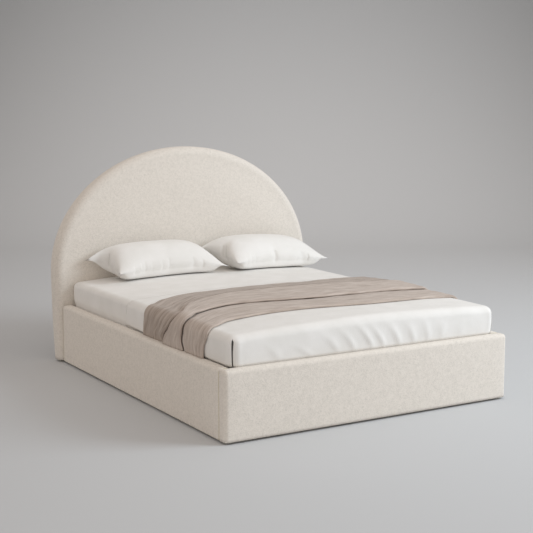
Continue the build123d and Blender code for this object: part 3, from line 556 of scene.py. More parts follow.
def curve(at, stops):
    """A smooth curve through a few (place, value) stops, with level ends."""
    place, value = np.array(stops, float).T
    slope = np.gradient(value, place)
    slope[0] = slope[-1] = 0.0
    at = np.clip(at, place[0], place[-1])
    index = np.clip(np.searchsorted(place, at, side="right") - 1, 0, len(place) - 2)
    span = place[index + 1] - place[index]
    t = (at - place[index]) / span
    rise = value[index + 1] - value[index]
    start, end = slope[index] * span, slope[index + 1] * span
    bend = t * (1 - t) * ((1 - t) * (start - rise) - t * (end - rise))
    return value[index] + rise * t + bend


def ripple(x, y, z, scale, seed):
    """Slow, even unevenness from -1 to 1: three crossed sine waves whose phases follow the seed."""
    total = 0.0
    for turn in range(3):
        angle = seed * 1.7 + turn * 2.1
        phase = scale * (x * math.cos(angle) + y * math.sin(angle) + z * math.cos(angle * 1.3))
        total = total + np.sin(phase * (1 + 0.37 * turn) + seed * (turn + 1))
    return total / 3.0


# Rails
def rail_section():
    """A side rail's section as arrays (depth, height, normal depth, normal height). It starts at
    the hem inside, goes up, over the rounded top, down the outer face and under the rail."""
    width = side_high.x - side_low.x
    high, low = side_high.z - rail_edge, side_low.z + rail_bottom_edge
    inner = np.linspace(side_high.z - rail_hem, high, 8)[:-1]
    top = np.linspace(width - rail_edge, rail_edge, 7)[1:-1]
    face = np.linspace(high, low, 26)[1:-1]
    under = np.linspace(rail_bottom_edge, rail_tuck, 5)[1:]
    (sine, cosine), (low_sine, low_cosine) = quarter(9), quarter(5)
    runs = (
        (width, inner, 1.0, 0.0),
        (width - rail_edge + rail_edge * cosine, high + rail_edge * sine, cosine, sine),
        (top, side_high.z, 0.0, 1.0),
        (rail_edge - rail_edge * sine, high + rail_edge * cosine, -sine, cosine),
        (0.0, face, -1.0, 0.0),
        (rail_bottom_edge * (1 - low_cosine), low - rail_bottom_edge * low_sine, -low_cosine, -low_sine),
        (under, side_low.z, 0.0, -1.0),
    )
    return joined(runs)


def side_rail_cover(side, name, node):
    """A side rail's cover: the section carried along the rail, rolled in at both ends, with the
    outer face and the top swelling slightly over the foam."""
    depth, height, normal_depth, normal_height = rail_section()
    low_y, high_y = side_low.y, side_high.y
    roll_y, roll_in = (rail_end_edge * (1 - turned) for turned in quarter(5))
    middle = spaced(low_y + rail_end_edge, high_y - rail_end_edge, 0.15, 8, 60)[1:-1]
    y = np.concatenate([[low_y], (low_y + roll_y)[::-1], middle, high_y - roll_y, [high_y]])
    edge_in = [[rail_end_edge], roll_in[::-1], middle * 0, roll_in, [rail_end_edge]]
    share_z = (height - side_low.z) / (side_high.z - side_low.z)
    outer = np.clip(-normal_depth, 0, 1) * bowed(share_z, rail_fullness)
    top = np.clip(normal_height, 0, 1)
    fade = smooth_step(np.minimum(y - low_y, high_y - y) / rail_fade)
    puff = np.outer(fade, outer * rail_face_puff + top * rail_top_puff)
    grid_y = np.repeat(y[:, None], len(depth), 1)
    uneven = ripple(0.0, grid_y, height[None, :], 17.0, 3.0 + side)
    puff = puff + np.outer(fade, outer + top) * rail_uneven * uneven
    shift = puff - np.concatenate(edge_in)[:, None]
    x = side_high.x - (depth[None, :] + normal_depth[None, :] * shift)
    z = height[None, :] + normal_height[None, :] * shift
    middle_x = side * (side_low.x + side_high.x) / 2
    middle_z = (side_low.z + side_high.z) / 2
    core = ((middle_x, -math.inf, middle_z), (middle_x, math.inf, middle_z))
    grid = np.stack([side * x, grid_y, z], -1)
    thicken(make_piece(name, node, "bed_base", [grid], core), cover_thickness)


def round_share(first, second, radius):
    """What brings two distances past a core onto its rounded edge, where both are past it."""
    both = (first > 0) & (second > 0)
    return np.where(both, radius / np.maximum(np.hypot(first, second), tiny), 1.0)


def foot_round(points):
    """Press the foot rail's box onto its rounded edges. Near the inner top edge, and then near
    the ends, the foot face and the top, a point goes to the nearest core point plus the radius.
    Last, the upright edges at the inner face go onto their smaller radius."""
    x, y, z = points[..., 0], points[..., 1], points[..., 2]
    core_z = foot_high.z - rail_edge
    back = np.maximum(y - (foot_high.y - rail_edge), 0.0)
    rise = np.maximum(z - core_z, 0.0)
    share = round_share(back, rise, rail_edge)
    y = np.where(back > 0, foot_high.y - rail_edge + back * share, y)
    z = np.where(rise > 0, core_z + rise * share, z)
    core_x = np.clip(x, foot_low.x + rail_edge, foot_high.x - rail_edge)
    core = np.stack([core_x, np.maximum(y, foot_low.y + rail_edge), np.minimum(z, core_z)], -1)
    out = np.stack([x, y, z], -1) - core
    length = np.maximum(np.linalg.norm(out, axis=-1, keepdims=True), tiny)
    corners = (np.abs(out) > tiny).sum(-1, keepdims=True) > 1
    shaped = core + out * np.where(corners, rail_edge / length, 1.0)
    side_out = np.abs(shaped[..., 0]) - (foot_high.x - rail_end_edge)
    back_out = shaped[..., 1] - (foot_high.y - rail_end_edge)
    pull = round_share(side_out, back_out, rail_end_edge) - 1.0
    shaped[..., 0] += np.sign(shaped[..., 0]) * side_out * pull
    shaped[..., 1] += back_out * pull
    return shaped, out / length


def foot_rail_cover():
    """The foot rail's cover: a box pressed onto its rounded edges, open inside below the hem and
    under the core, with its faces swelling slightly."""
    inner_x, tuck_y, hem_z = side_low.x, foot_low.y + rail_tuck, foot_high.z - rail_hem
    xs = through(spaced(foot_low.x, foot_high.x, rail_edge, 7, 90), -inner_x, inner_x)
    ys = through(spaced(foot_low.y, foot_high.y, rail_edge, 7, 3), tuck_y)
    zs = through(rising(foot_low.z, foot_high.z, rail_edge, 24, 8), hem_z)
    faces = [box_face(name, xs, ys, zs) for name in ("foot", "top", "left", "right")]
    faces.append(box_face("head", xs, ys, zs[zs >= hem_z - same_place]))
    for sign in (-1, 1):
        outer = xs[sign * xs >= inner_x - same_place]
        faces.append(box_face("head", outer, ys, zs[zs <= hem_z + same_place]))
    faces.append(box_face("under", xs, ys[ys <= tuck_y + same_place], zs))
    grids = []
    for face in faces:
        shaped, normal = foot_round(face)
        share_z = (shaped[..., 2] - foot_low.z) / (foot_high.z - foot_low.z)
        outer = np.clip(-normal[..., 1], 0, 1) * bowed(share_z, rail_fullness)
        top = np.clip(normal[..., 2], 0, 1)
        fade = smooth_step((foot_high.x - np.abs(shaped[..., 0])) / foot_fade)
        uneven = ripple(shaped[..., 0], 0.0, shaped[..., 2], 16.0, 5.0)
        puff = outer * (rail_face_puff + foot_uneven * uneven) + top * rail_top_puff
        grids.append(shaped + normal * (fade * puff)[..., None])
    middle_y = (foot_low.y + foot_high.y) / 2
    core = (
        (foot_low.x + rail_core, middle_y, foot_low.z + rail_core),
        (foot_high.x - rail_core, middle_y, foot_high.z - rail_core),
    )
    piece = make_piece("foot_rail_boucle", "foot_rail_cover", "bed_base", grids, core)
    thicken(piece, cover_thickness)


# Headboard
def arch_line(count_side, count_arch):
    """The arch's outline from the left foot to the right one, as (x, z) and outward normals. The
    sides are arcs that draw in to the floor, and the arch is half an ellipse."""
    half = board_high.x
    rise = board_high.z - board_spring
    drop = board_spring - board_low.z
    draw = half - board_foot_half
    radius = (drop**2 + draw**2) / (2 * draw)
    side_z = np.linspace(board_low.z, board_spring, count_side)
    side_x = half - radius + np.sqrt(radius**2 - (board_spring - side_z) ** 2)
    side = np.stack([side_x, side_z, (side_x - half + radius) / radius, (side_z - board_spring) / radius])
    turn = np.linspace(0.0, math.pi, count_arch)
    arch = np.stack([half * np.cos(turn), board_spring + rise * np.sin(turn)])
    normal = np.stack([np.cos(turn) / half, np.sin(turn) / rise])
    arch = np.concatenate([arch, normal / np.linalg.norm(normal, axis=0)])
    left = side[:, ::-1] * np.array([[-1], [1], [-1], [1]])
    return np.concatenate([side, arch[:, 1:-1], left], 1)[:, ::-1]


def board_swell(x, z):
    """How far the front swells: nothing at the rounded edge, full a hand's width inside it."""
    half = board_high.x - board_front_edge
    rise = board_high.z - board_spring - board_front_edge
    up = np.maximum(z - board_spring, 0.0)
    level = np.maximum(np.sqrt((x / half) ** 2 + (up / rise) ** 2), tiny)
    steep = np.sqrt((x / half**2) ** 2 + (up / rise**2) ** 2) / level
    inside = (1 - level) / np.maximum(steep, tiny)
    puff = board_puff + board_uneven * ripple(x, 0.0, z, 11.0, 2.0)
    return smooth_step(inside / board_puff_reach) * puff


def headboard_cover():
    """The headboard's cover. A profile goes from the front face round the front edge, across the
    thickness, round the back edge and under the lining, and is carried along the arch. The front
    face is rows between the profile's inner ends, left and right."""
    x, z, normal_x, normal_z = arch_line(26, 181)[:, :, None]
    back_y = board_high.y
    sine, cosine = quarter(12)
    back_sine, back_cosine = np.stack(quarter(6))[:, 1:]
    runs = (
        (board_front_edge * (1 - sine), board_front + board_front_edge * (1 - cosine)),
        (0.0, np.linspace(board_front + board_front_edge, back_y - board_back_edge, 6)[1:]),
        (board_back_edge * (1 - back_cosine), back_y - board_back_edge * (1 - back_sine)),
        (np.linspace(board_back_edge, board_tuck, 5)[1:], back_y),
    )
    inset, depth = joined(runs)[:, None]
    rim_x = x - normal_x * inset
    rim_z = np.maximum(z - normal_z * inset, board_low.z)
    rim = np.stack([rim_x, np.repeat(depth, len(rim_x), 0), rim_z], -1)
    left = rim[: (len(rim) + 1) // 2, 0]
    share = np.sin(np.linspace(-1, 1, 71) * math.pi / 2)
    face_x = -left[:, 0][:, None] * share
    face_z = np.repeat(left[:, 2][:, None], len(share), 1)
    face = np.stack([face_x, board_front - board_swell(face_x, face_z), face_z], -1)
    rim[:, 0, 1] = board_front - board_swell(rim[:, 0, 0], rim[:, 0, 2])
    core_y = board_front + board_core_depth
    core_z = (board_low.z + board_spring) / 2
    core = ((-board_core_half, core_y, core_z), (board_core_half, core_y, board_spring + board_core_rise))
    piece = make_piece("headboard_boucle", "headboard_cover", "bed_base", [rim, face], core)
    thicken(piece, cover_thickness)


# Bedding shapes
def round_off(points, low, high, corner, edge):
    """Press a box's surface onto rounded edges. In plan each corner square goes onto a quarter
    disc. Then what is less than edge inside the side or below the top goes onto a quarter circle.
    Returns the points and their outward normals."""
    x, y, z = points[..., 0], points[..., 1], points[..., 2]
    core_x = np.clip(x, low[0] + corner, high[0] - corner)
    core_y = np.clip(y, low[1] + corner, high[1] - corner)
    out_x, out_y = x - core_x, y - core_y
    reach = np.maximum(np.abs(out_x), np.abs(out_y))
    length = np.maximum(np.hypot(out_x, out_y), tiniest)
    normal_x, normal_y = out_x / length, out_y / length
    inset = corner - reach
    drop = high[2] - z
    side = edge - np.minimum(inset, edge)
    rise = edge - np.minimum(drop, edge)
    size = np.maximum(np.hypot(side, rise), tiniest)
    turn_side, turn_rise = side / size, rise / size
    inset = np.where(side > 0, edge - edge * turn_side, inset)
    z = np.where(rise > 0, high[2] - edge + edge * turn_rise, z)
    reach = corner - inset
    shaped = np.stack([core_x + normal_x * reach, core_y + normal_y * reach, z], -1)
    normal = np.stack([normal_x * turn_side, normal_y * turn_side, turn_rise], -1)
    return shaped, normal


def crowned(points, base, top):
    """Lower a soft block's sides below its middle, as a slice of a very wide cylinder, by a
    share that falls to nothing at its base."""
    sag = points[..., 0] ** 2 / (2 * crown_radius)
    share = np.clip((points[..., 2] - base) / (top - base), 0.0, 1.0)
    lowered = points.copy()
    lowered[..., 2] -= sag * share
    return lowered


def box_face(name, *places):
    """The grid over one face of a box, from the places along x, y and z. The face lies at the
    first or the last place of its own axis."""
    axis, end = face_ends[name]
    places = [place[[end]] if index == axis else place for index, place in enumerate(places)]
    return np.stack(np.meshgrid(*places, indexing="ij"), -1).squeeze(axis)


def tube_round(path, radius, sides=8):
    """A closed tube: a circle carried along a closed level path, upright all the way."""
    ahead = np.roll(path, -1, 0) - np.roll(path, 1, 0)
    ahead = ahead / np.linalg.norm(ahead, axis=1, keepdims=True)
    out = np.stack([ahead[:, 1], -ahead[:, 0], ahead[:, 0] * 0], -1)
    turn = np.linspace(0.0, 2 * math.pi, sides, endpoint=False)
    up = np.array([0.0, 0.0, 1.0])
    ring = out[:, None] * np.cos(turn)[None, :, None] + up * np.sin(turn)[None, :, None]
    return path[:, None] + radius * ring


def plan_path(half_x, low_y, high_y, corner, z, count=16):
    """A rounded rectangle's outline at one height."""
    turn = np.linspace(0.0, math.pi / 2, count)
    head_y, foot_y = high_y - corner, low_y + corner
    runs = []
    for number, (side, centre_y) in enumerate(((1, head_y), (-1, head_y), (-1, foot_y), (1, foot_y))):
        angle = turn + 2 * math.pi * (number / 4)
        x = side * (half_x - corner) + corner * np.cos(angle)
        runs.append(np.stack([x, centre_y + corner * np.sin(angle)], -1))
    plan = np.concatenate(runs)
    return np.concatenate([plan, np.full((len(plan), 1), z)], 1)


def mattress():
    """The mattress: a rounded, crowned block with rounded lower edges, its border swelling
    between two rows of piping."""
    low, high = corners_of(mattress_low, mattress_high)
    xs = spaced(low[0], high[0], mattress_corner, 6, 40)
    ys = spaced(low[1], high[1], mattress_corner, 6, 50)
    zs = spaced(low[2], high[2], mattress_edge, 5, 8)
    grids, tubes = [], []
    for name in ("top", "under", "left", "right", "foot", "head"):
        shaped, normal = round_off(box_face(name, xs, ys, zs), low, high, mattress_corner, mattress_edge)
        level = (shaped[..., 2] - low[2]) / (high[2] - low[2])
        swell = mattress_puff * (1.0 - np.abs(normal[..., 2])) * (bowed(level, mattress_fullness) - 1.0)
        shaped = shaped + normal * swell[..., None]
        base = smooth_step((mattress_base_edge - (shaped[..., 2] - low[2])) / mattress_base_edge)
        shaped[..., :2] -= normal[..., :2] * (base * mattress_base_edge * 0.5)[..., None]
        grids.append(crowned(shaped, low[2], high[2]))
    piping = ((high[2] - mattress_edge, piping_inset), (low[2] + piping_height, piping_low_inset))
    for z, inset in piping:
        path = plan_path(high[0] - inset, low[1] + inset, high[1] - inset, mattress_corner, z)
        tubes.append(tube_round(crowned(path, low[2], high[2]), piping_radius))
    middle = (low[2] + high[2]) / 2
    core = ((-core_half, low[1] + core_margin, middle), (core_half, high[1] - core_margin, middle))
    piece = make_piece("mattress_body", "mattress", "lift_platform", grids, core, None, tubes)


def corners_of(low, high):
    """A box's low and high corner as arrays, the low x mirrored from the high one."""
    return np.array([-high.x, low.y, low.z]), np.array([high.x, high.y, high.z])


# Fitted sheet
def sheet_face(name, places, low, high):
    """One face of the fitted sheet: pressed onto its rounded edges, larger at the foot, lifted
    by its folds and gathers and by the bulges over the rails and towards the headboard, then
    dented by a short upright crease and beside the bedspread's head edge."""
    face = box_face(name, *places)
    corner = np.where(face[..., 1] > 0.0, sheet_head_corner, sheet_foot_corner)
    shaped, normal = round_off(face, low, high, corner, mattress_edge + sheet_growth)
    x, y, z = shaped[..., 0], shaped[..., 1], shaped[..., 2]
    side = 1.0 - normal[..., 2] ** 2
    facing_side = np.abs(normal[..., 0]) * side
    depth = (high[2] - z) / (high[2] - low[2])
    around = x * 0.8 + y * 1.1
    folds = np.sin(around * fold_waves) * np.sin(around * slow_fold_waves + 1.0)
    corner_near = near(high[0] - np.abs(x), gather_reach)
    corner_near = corner_near * near(np.minimum(y - low[1], high[1] - y), gather_reach)
    gathers = corner_near * np.sin(around * gather_waves)
    lift = side * (sheet_fold * folds * depth**2 + sheet_gather * gathers * depth)
    lift = lift + sheet_uneven * ripple(x, y, 0.0, 14.0, 4.0)
    above = smooth_step((z - side_high.z) / sheet_bulge_fade)
    lift = lift + np.where(x < 0, sheet_bulge, sheet_bulge / 3) * facing_side * above
    outer = smooth_step((np.abs(x) - head_bulge_start) / head_bulge_fade)
    lift = lift + sheet_head_bulge * np.clip(normal[..., 1], 0, 1) * side * outer * above
    crease = bell(y - crease_y, crease_width) * smooth_step((crease_top - z) / crease_fade)
    lift = lift - crease_depth * crease * side
    edge_y = spread_high.y + spread_edge_lean((spread_high.z - z) / (spread_high.z - spread_low.z))
    groove = bell(y - edge_y - groove_offset, groove_width)
    lift = lift - groove_depth * groove * facing_side
    roll = near(z - low[2], elastic_height)
    shaped = shaped + normal * lift[..., None]
    shaped[..., :2] -= normal[..., :2] * (roll * elastic_roll)[..., None]
    return crowned(shaped, low[2], high[2])


def fitted_sheet():
    """The fitted sheet: the mattress's rounded block grown by the cloth, with shallow upright
    folds low on its sides, gathers near its corners and a rolled elastic hem at the base."""
    low, high = corners_of(sheet_low, sheet_high)
    xs = spaced(low[0], high[0], sheet_foot_corner, 14, 90)
    ys = spaced(low[1], high[1], sheet_foot_corner, 14, 110)
    ys = through(ys, *np.linspace(spread_high.y - groove_fine_foot, spread_high.y + groove_fine_head, 34))
    zs = rising(low[2], high[2], mattress_edge + sheet_growth, 22, 9)
    names = ("top", "left", "right", "foot", "head")
    grids = [sheet_face(name, (xs, ys, zs), low, high) for name in names]
    core = (
        (-core_half, low[1] + core_margin, -math.inf),
        (core_half, high[1] - core_margin, high[2] - core_margin),
    )
    piece = make_piece("cotton_fitted_sheet", "fitted_sheet", "lift_platform", grids, core)
    thicken(piece, sheet_thickness)


# Bedspread
spread_split_z = 0.524
spread_flare = 0.006
spread_part = 0.005
spread_inset = 0.006
spread_head_taper = 0.24
spread_edge = 0.046
spread_corner = 0.054
spread_thickness = 0.003
spread_puff = 0.004
spread_top_uneven = 0.0016
spread_side_uneven = 0.0012
spread_top_taper = 0.0055
spread_side_taper = 0.0115
spread_split_reach = 0.075
split_start_share = 0.12
split_wide_share = 0.34
split_least_share = 0.35
spread_side_part = 0.004
spread_hem_height = 0.014
spread_hem_roll = 0.007
spread_lean_reach = 0.20
spread_lean = 0.034
spread_lean_top = 0.008
spread_end_fade = 0.14
foot_ridge_bow = 0.010
# Foot ridges as (x at the top, z at the top, x at the foot, width, height)
foot_ridges = (
    (-0.62, 0.47, -0.55, 0.030, 0.0036),
    (-0.47, 0.45, -0.36, 0.034, 0.0034),
    (-0.30, 0.49, -0.20, 0.030, 0.0050),
    (-0.20, 0.50, -0.10, 0.024, 0.0062),
    (-0.09, 0.51, 0.01, 0.022, 0.0080),
    (0.00, 0.49, 0.08, 0.020, 0.0072),
    (0.10, 0.50, 0.18, 0.026, 0.0078),
    (0.22, 0.49, 0.27, 0.024, 0.0070),
    (0.33, 0.50, 0.36, 0.022, 0.0056),
    (0.44, 0.48, 0.45, 0.028, 0.0048),
    (0.58, 0.46, 0.57, 0.034, 0.0036),
)


def foot_wrinkles(x, z, low_z):
    """Soft slanting ridges on the foot drop. Each follows a leaning, slightly bowed line, is
    highest in its middle and dies out at its upper end and at the rail."""
    total = 0.0
    for top_x, top_z, foot_x, width, height in foot_ridges:
        share = np.clip((z - low_z) / (top_z - low_z), 0.0, 1.35)
        line = foot_x + (top_x - foot_x) * share + foot_ridge_bow * np.sin(math.pi * share)
        spread = width * (0.55 + 0.55 * share)
        ends = smooth_step(1.25 - share) * smooth_step(0.25 + share * 2.0)
        total = total + height * bell(x - line, spread) * ends
    return total


def spread_edge_lean(level):
    """How far the head edge lies past its plain place, towards the headboard, from the top (0)
    to the hem (1)."""
    return spread_lean * np.clip(level, 0, 1) - spread_lean_top


def spread_face(name, places, low, high):
    """One face of the bedspread: pressed onto its rounded edges, wrinkled, and parted from its
    neighbour at the split foot corners."""
    face = box_face(name, *places)
    shaped, normal = round_off(face, low, high, spread_corner, spread_edge)
    x, y, z = shaped[..., 0], shaped[..., 1], shaped[..., 2]
    base = low[2]
    level = (high[2] - z) / (high[2] - base)
    facing_foot = np.clip(-normal[..., 1], 0, 1)
    facing_side = np.abs(normal[..., 0])
    facing_up = np.clip(normal[..., 2], 0, 1)
    ends = smooth_step((high[0] - np.abs(x)) / spread_end_fade)
    lift = facing_foot * ends * foot_wrinkles(x, z, base)
    lift = lift + spread_top_uneven * ripple(x, y, 0.0, 7.0, 1.0) * facing_up
    side_uneven = spread_side_uneven * ripple(0.0, y, z, 19.0, 6.0)
    lift = lift + facing_side * side_uneven * np.clip(level * 2, 0, 1)
    lift = lift + (facing_foot + facing_side) * spread_puff * bowed(level, 1.0)
    from_head = spread_high.y - y
    taper = near(from_head, spread_head_taper)
    lift = lift - taper * (spread_top_taper * facing_up + spread_side_taper * facing_side)
    below = np.clip((spread_split_z - z) / (spread_split_z - base), 0.0, 1.0)
    begun = smooth_step(below / split_start_share)
    wide = bell(below, split_wide_share)
    opening = begun * (split_least_share + (1 - split_least_share) * wide)
    beside = near(np.hypot(high[0] - np.abs(x), y - low[1]), spread_split_reach)
    shaped = shaped + normal * lift[..., None]
    if name == "foot":
        shaped[..., 1] -= spread_flare * beside * opening
        shaped[..., 0] -= np.sign(x) * (spread_part * opening + spread_inset * begun) * beside
    if name in ("left", "right"):
        shaped[..., 1] += spread_side_part * beside * opening
    hem = near(z - base, spread_hem_height)
    shaped[..., :2] -= normal[..., :2] * (hem * spread_hem_roll)[..., None]
    shaped[..., 1] += near(from_head, spread_lean_reach) * spread_edge_lean(level)
    return crowned(shaped, base, high[2])


def bedspread():
    """The bedspread over the foot part of the mattress: its top, two side drops and a foot drop,
    with split corners at the foot."""
    low, high = corners_of(spread_low, spread_high)
    high[1] += spread_corner
    xs = spaced(low[0], high[0], spread_corner, 12, 130)
    foot_ys = np.linspace(low[1], low[1] + spread_corner, 13)
    ys = np.concatenate([foot_ys, np.linspace(foot_ys[-1], spread_high.y, 90)[1:]])
    zs = rising(low[2], high[2], spread_edge, 26, 11)
    names = ("top", "left", "right", "foot")
    grids = [spread_face(name, (xs, ys, zs), low, high) for name in names]
    core = ((-core_half, low[1] + core_margin, -math.inf), (core_half, math.inf, high[2] - core_margin))
    piece = make_piece("cotton_bedspread", "bedspread", "lift_platform", grids, core)
    thicken(piece, spread_thickness)


# Throw: its bands' lines, as (place along its path, distance from the headboard's front)
head_line = (
    (0.0, 1.085), (0.115, 1.10), (0.163, 1.088), (0.27, 1.01), (0.437, 0.952), (0.62, 0.955),
    (0.85, 0.945), (1.10, 0.96), (1.25, 0.955), (1.41, 0.915), (1.63, 0.87), (1.91, 0.86),
)
ridge_line = (
    (0.0, 1.335), (0.045, 1.352), (0.09, 1.395), (0.148, 1.44), (0.19, 1.405), (0.25, 1.325),
    (0.37, 1.22), (0.51, 1.17), (0.80, 1.135), (1.07, 1.155), (1.27, 1.165), (1.91, 1.16),
)
crease_line = (
    (0.0, 1.58), (0.043, 1.56), (0.10, 1.57), (0.152, 1.565), (0.238, 1.495), (0.349, 1.445),
    (0.516, 1.425), (0.662, 1.455), (0.80, 1.49), (1.206, 1.505), (1.62, 1.46), (1.91, 1.455),
)
foot_line = (
    (0.0, 1.785), (0.056, 1.788), (0.115, 1.82), (0.179, 1.802), (0.287, 1.738), (0.40, 1.718),
    (0.70, 1.712), (1.117, 1.765), (1.573, 1.728), (1.91, 1.72),
)
throw_thickness = 0.0028
throw_skin = 0.0015
throw_side = 0.20
side_thinning = 0.006
pleat_depth = 0.0026
tuck_top = 0.23
throw_side_lift = 0.0045
throw_wave = 0.0012
flat_pleat_depth = 0.0006
pleat_fade = 0.07
soft_lift = 0.012
least_lift = 0.0012
throw_hem = 0.10
band_heights = (0.0105, 0.0310, 0.0175)
band_uneven_share = 0.10
band_puff = 0.0015
band_sag = 0.001
ridge_share = 0.75
ridge_start = 0.22
ridge_fade = 0.20
ridge_drop = 0.002
least_floor = 0.0035
fold_width = 0.005
slope_width = 0.036
tuck_slope = 0.024
tuck_start = 0.05
tuck_fade = 0.09
tuck_rise = 0.011
tuck_drop = 0.021
tuck_depth = 0.009
head_fold_share = 1.3
foot_fold_share = 1.1
lip_depth = 0.014
lip_drop = 0.004
lip_foot = 0.0105
lip_return = 0.020
turn_radius = 0.0022
climb_reach = 0.035


def throw_path(count):
    """The bedspread's outline across the bed, from the left rail over to the right one: places
    along it, points (x, z) and outward normals."""
    half, top = spread_high.x, spread_high.z
    reach = crown_radius - spread_edge
    lean = math.asin((half - spread_edge) / reach)
    centre_x = reach * math.sin(lean)
    centre_z = top - crown_radius + reach * math.cos(lean)
    side, arc = centre_z - throw_base, spread_edge * (math.pi / 2 - lean)
    total = 2 * (side + arc) + 2 * crown_radius * lean
    at = np.linspace(0.0, total, count)
    mirrored_at = np.minimum(at, total - at)
    sign = np.where(at > total / 2, 1.0, -1.0)
    turn = np.clip((mirrored_at - side) / spread_edge, 0.0, math.pi / 2 - lean)
    angle = np.clip(lean - (mirrored_at - side - arc) / crown_radius, 0.0, lean)
    drop = np.maximum(side - mirrored_at, 0.0)
    on_crown = mirrored_at > side + arc
    x = np.where(on_crown, crown_radius * np.sin(angle), centre_x + spread_edge * np.cos(turn))
    crown_z = top - crown_radius + crown_radius * np.cos(angle)
    z = np.where(on_crown, crown_z, centre_z + spread_edge * np.sin(turn) - drop)
    normal_x = np.where(on_crown, np.sin(angle), np.cos(turn))
    normal_z = np.where(on_crown, np.cos(angle), np.sin(turn))
    return at, sign * x, z, sign * normal_x, normal_z


def throw_profile(at, total):
    """The throw's section at each place along it, as arrays of distance from the headboard and
    height over the bedspread. It goes from the hem turned under the head edge, up the first band
    to its ridge, tucks in there on the left drop, goes over the high second band, round its lip
    and back under it, turns, and goes over the third band to the foot edge and the hem under
    that. Also returns how far each place hangs down a side and the ridge's column."""
    lines = (head_line, ridge_line, crease_line, foot_line)
    head, ridge, crease, foot = (curve(at, line)[:, None] for line in lines)
    a = at[:, None]
    side = near(np.minimum(a, total - a), throw_side)
    uneven = [1.0 + band_uneven_share * ripple(a, 0.0, 0.0, 5.0 + 2 * k, k + 2.0) for k in range(3)]
    low, high, last = (h * part for h, part in zip(band_heights, uneven))
    high = high - side_thinning * side
    tuck = smooth_step(a / tuck_start) * smooth_step((tuck_top - a) / tuck_fade)
    on_top = smooth_step((a - ridge_start) / ridge_fade)
    low_end = low + ridge_share * (high - low) * on_top + tuck_rise * tuck
    floor = np.maximum(low_end - ridge_drop - tuck_drop * tuck, least_floor)
    half = np.linspace(0.0, math.pi, 12)[None, :]
    line = np.linspace(0.0, 1.0, 16)[None, :]
    sine, upper, lower = np.sin(half), 1 + np.cos(half), 1 - np.cos(half)
    rise = (low - throw_skin) / 2
    reach = head_fold_share * rise
    runs = [(head + throw_hem + (reach - throw_hem) * line, throw_skin)]
    runs.append((head + reach * (1 - sine), throw_skin + rise * lower))
    fold = fold_width + tuck_depth * tuck
    start, end = head + reach, ridge - fold
    runs.append((start + (end - start) * line, low + (low_end - low) * line))
    runs.append((end + fold * sine, floor + (low_end - floor) * upper / 2))
    width = slope_width + tuck_slope * tuck
    runs.append((end + width * line, floor + (high - floor) * smooth_step(line)))
    ridge_column = 3 * (line.size - 1) + 2 * (half.size - 1)
    start, end = end + width, crease - lip_depth
    lip_top = high - lip_drop
    puff = band_puff * np.sin(math.pi * line)
    runs.append((start + (end - start) * line, high + (lip_top - high) * line**2 + puff))
    runs.append((end + lip_depth * sine, lip_foot + (lip_top - lip_foot) / 2 * upper))
    runs.append((end - lip_return * line, lip_foot - band_sag * line))
    back = end - lip_return
    runs.append((back - turn_radius * sine, lip_foot - band_sag - turn_radius * lower))
    low_start = lip_foot - band_sag - 2 * turn_radius
    far = crease + climb_reach
    climb = back + (far - back) * np.linspace(0.0, 1.0, 22)[None, :]
    runs.append((climb, low_start + (last - low_start) * smooth_step((climb - end) / (far - end))))
    rise = (last - band_sag - throw_skin) / 2
    reach = foot_fold_share * rise
    end = foot - reach
    runs.append((far + (end - far) * line, last + puff - band_sag * line))
    runs.append((end + reach * sine, throw_skin + rise * upper))
    runs.append((end - (throw_hem - reach) * line, throw_skin))
    runs = [np.stack(np.broadcast_arrays(*run))[..., (index > 0) :] for index, run in enumerate(runs)]
    return (*np.concatenate(runs, -1), side, ridge_column)


def throw():
    """The folded throw: its section, carried along the bedspread's outline from the left rail to
    the right one, with slow waves along it and shallow pleats where it hangs."""
    at, path_x, path_z, normal_x, normal_z = (part[:, None] for part in throw_path(240))
    u, lift, side, ridge_column = throw_profile(at[:, 0], at[-1, 0])
    wave = throw_wave * ripple(at, u, 0.0, 30.0, 3.0)
    drape = np.sin(u * 52.0 + 1.6 * np.sin(at * 13.0) - at * 6.0) + 0.7 * np.sin(u * 97.0 + at * 8.0)
    at_hem = smooth_step(np.minimum(at, at[-1] - at) / pleat_fade)
    pleats = (pleat_depth * side * at_hem + flat_pleat_depth) * drape
    soft = np.clip(lift / soft_lift, 0, 1)
    lift = np.maximum(lift + (wave + pleats) * soft, least_lift) + throw_side_lift * side
    points = np.stack([path_x + normal_x * lift, board_front - u, path_z + normal_z * lift], -1)
    steps = np.linalg.norm(np.diff(points, axis=1), axis=-1).mean(0)
    along_width = np.concatenate([[0.0], np.cumsum(steps)])
    # The UV's second place is measured from the ridge, where the throw's painted lighter tone begins
    uv = np.stack(np.meshgrid(at, along_width - along_width[ridge_column], indexing="ij"), -1)
    piece = make_piece("wool_throw", "throw_blanket", "lift_platform", [points], None, uv)
    highest = max(piece.data.polygons, key=lambda polygon: polygon.center.z)
    if highest.normal.z < 0:
        piece.data.flip_normals()
    thicken(piece, throw_thickness)


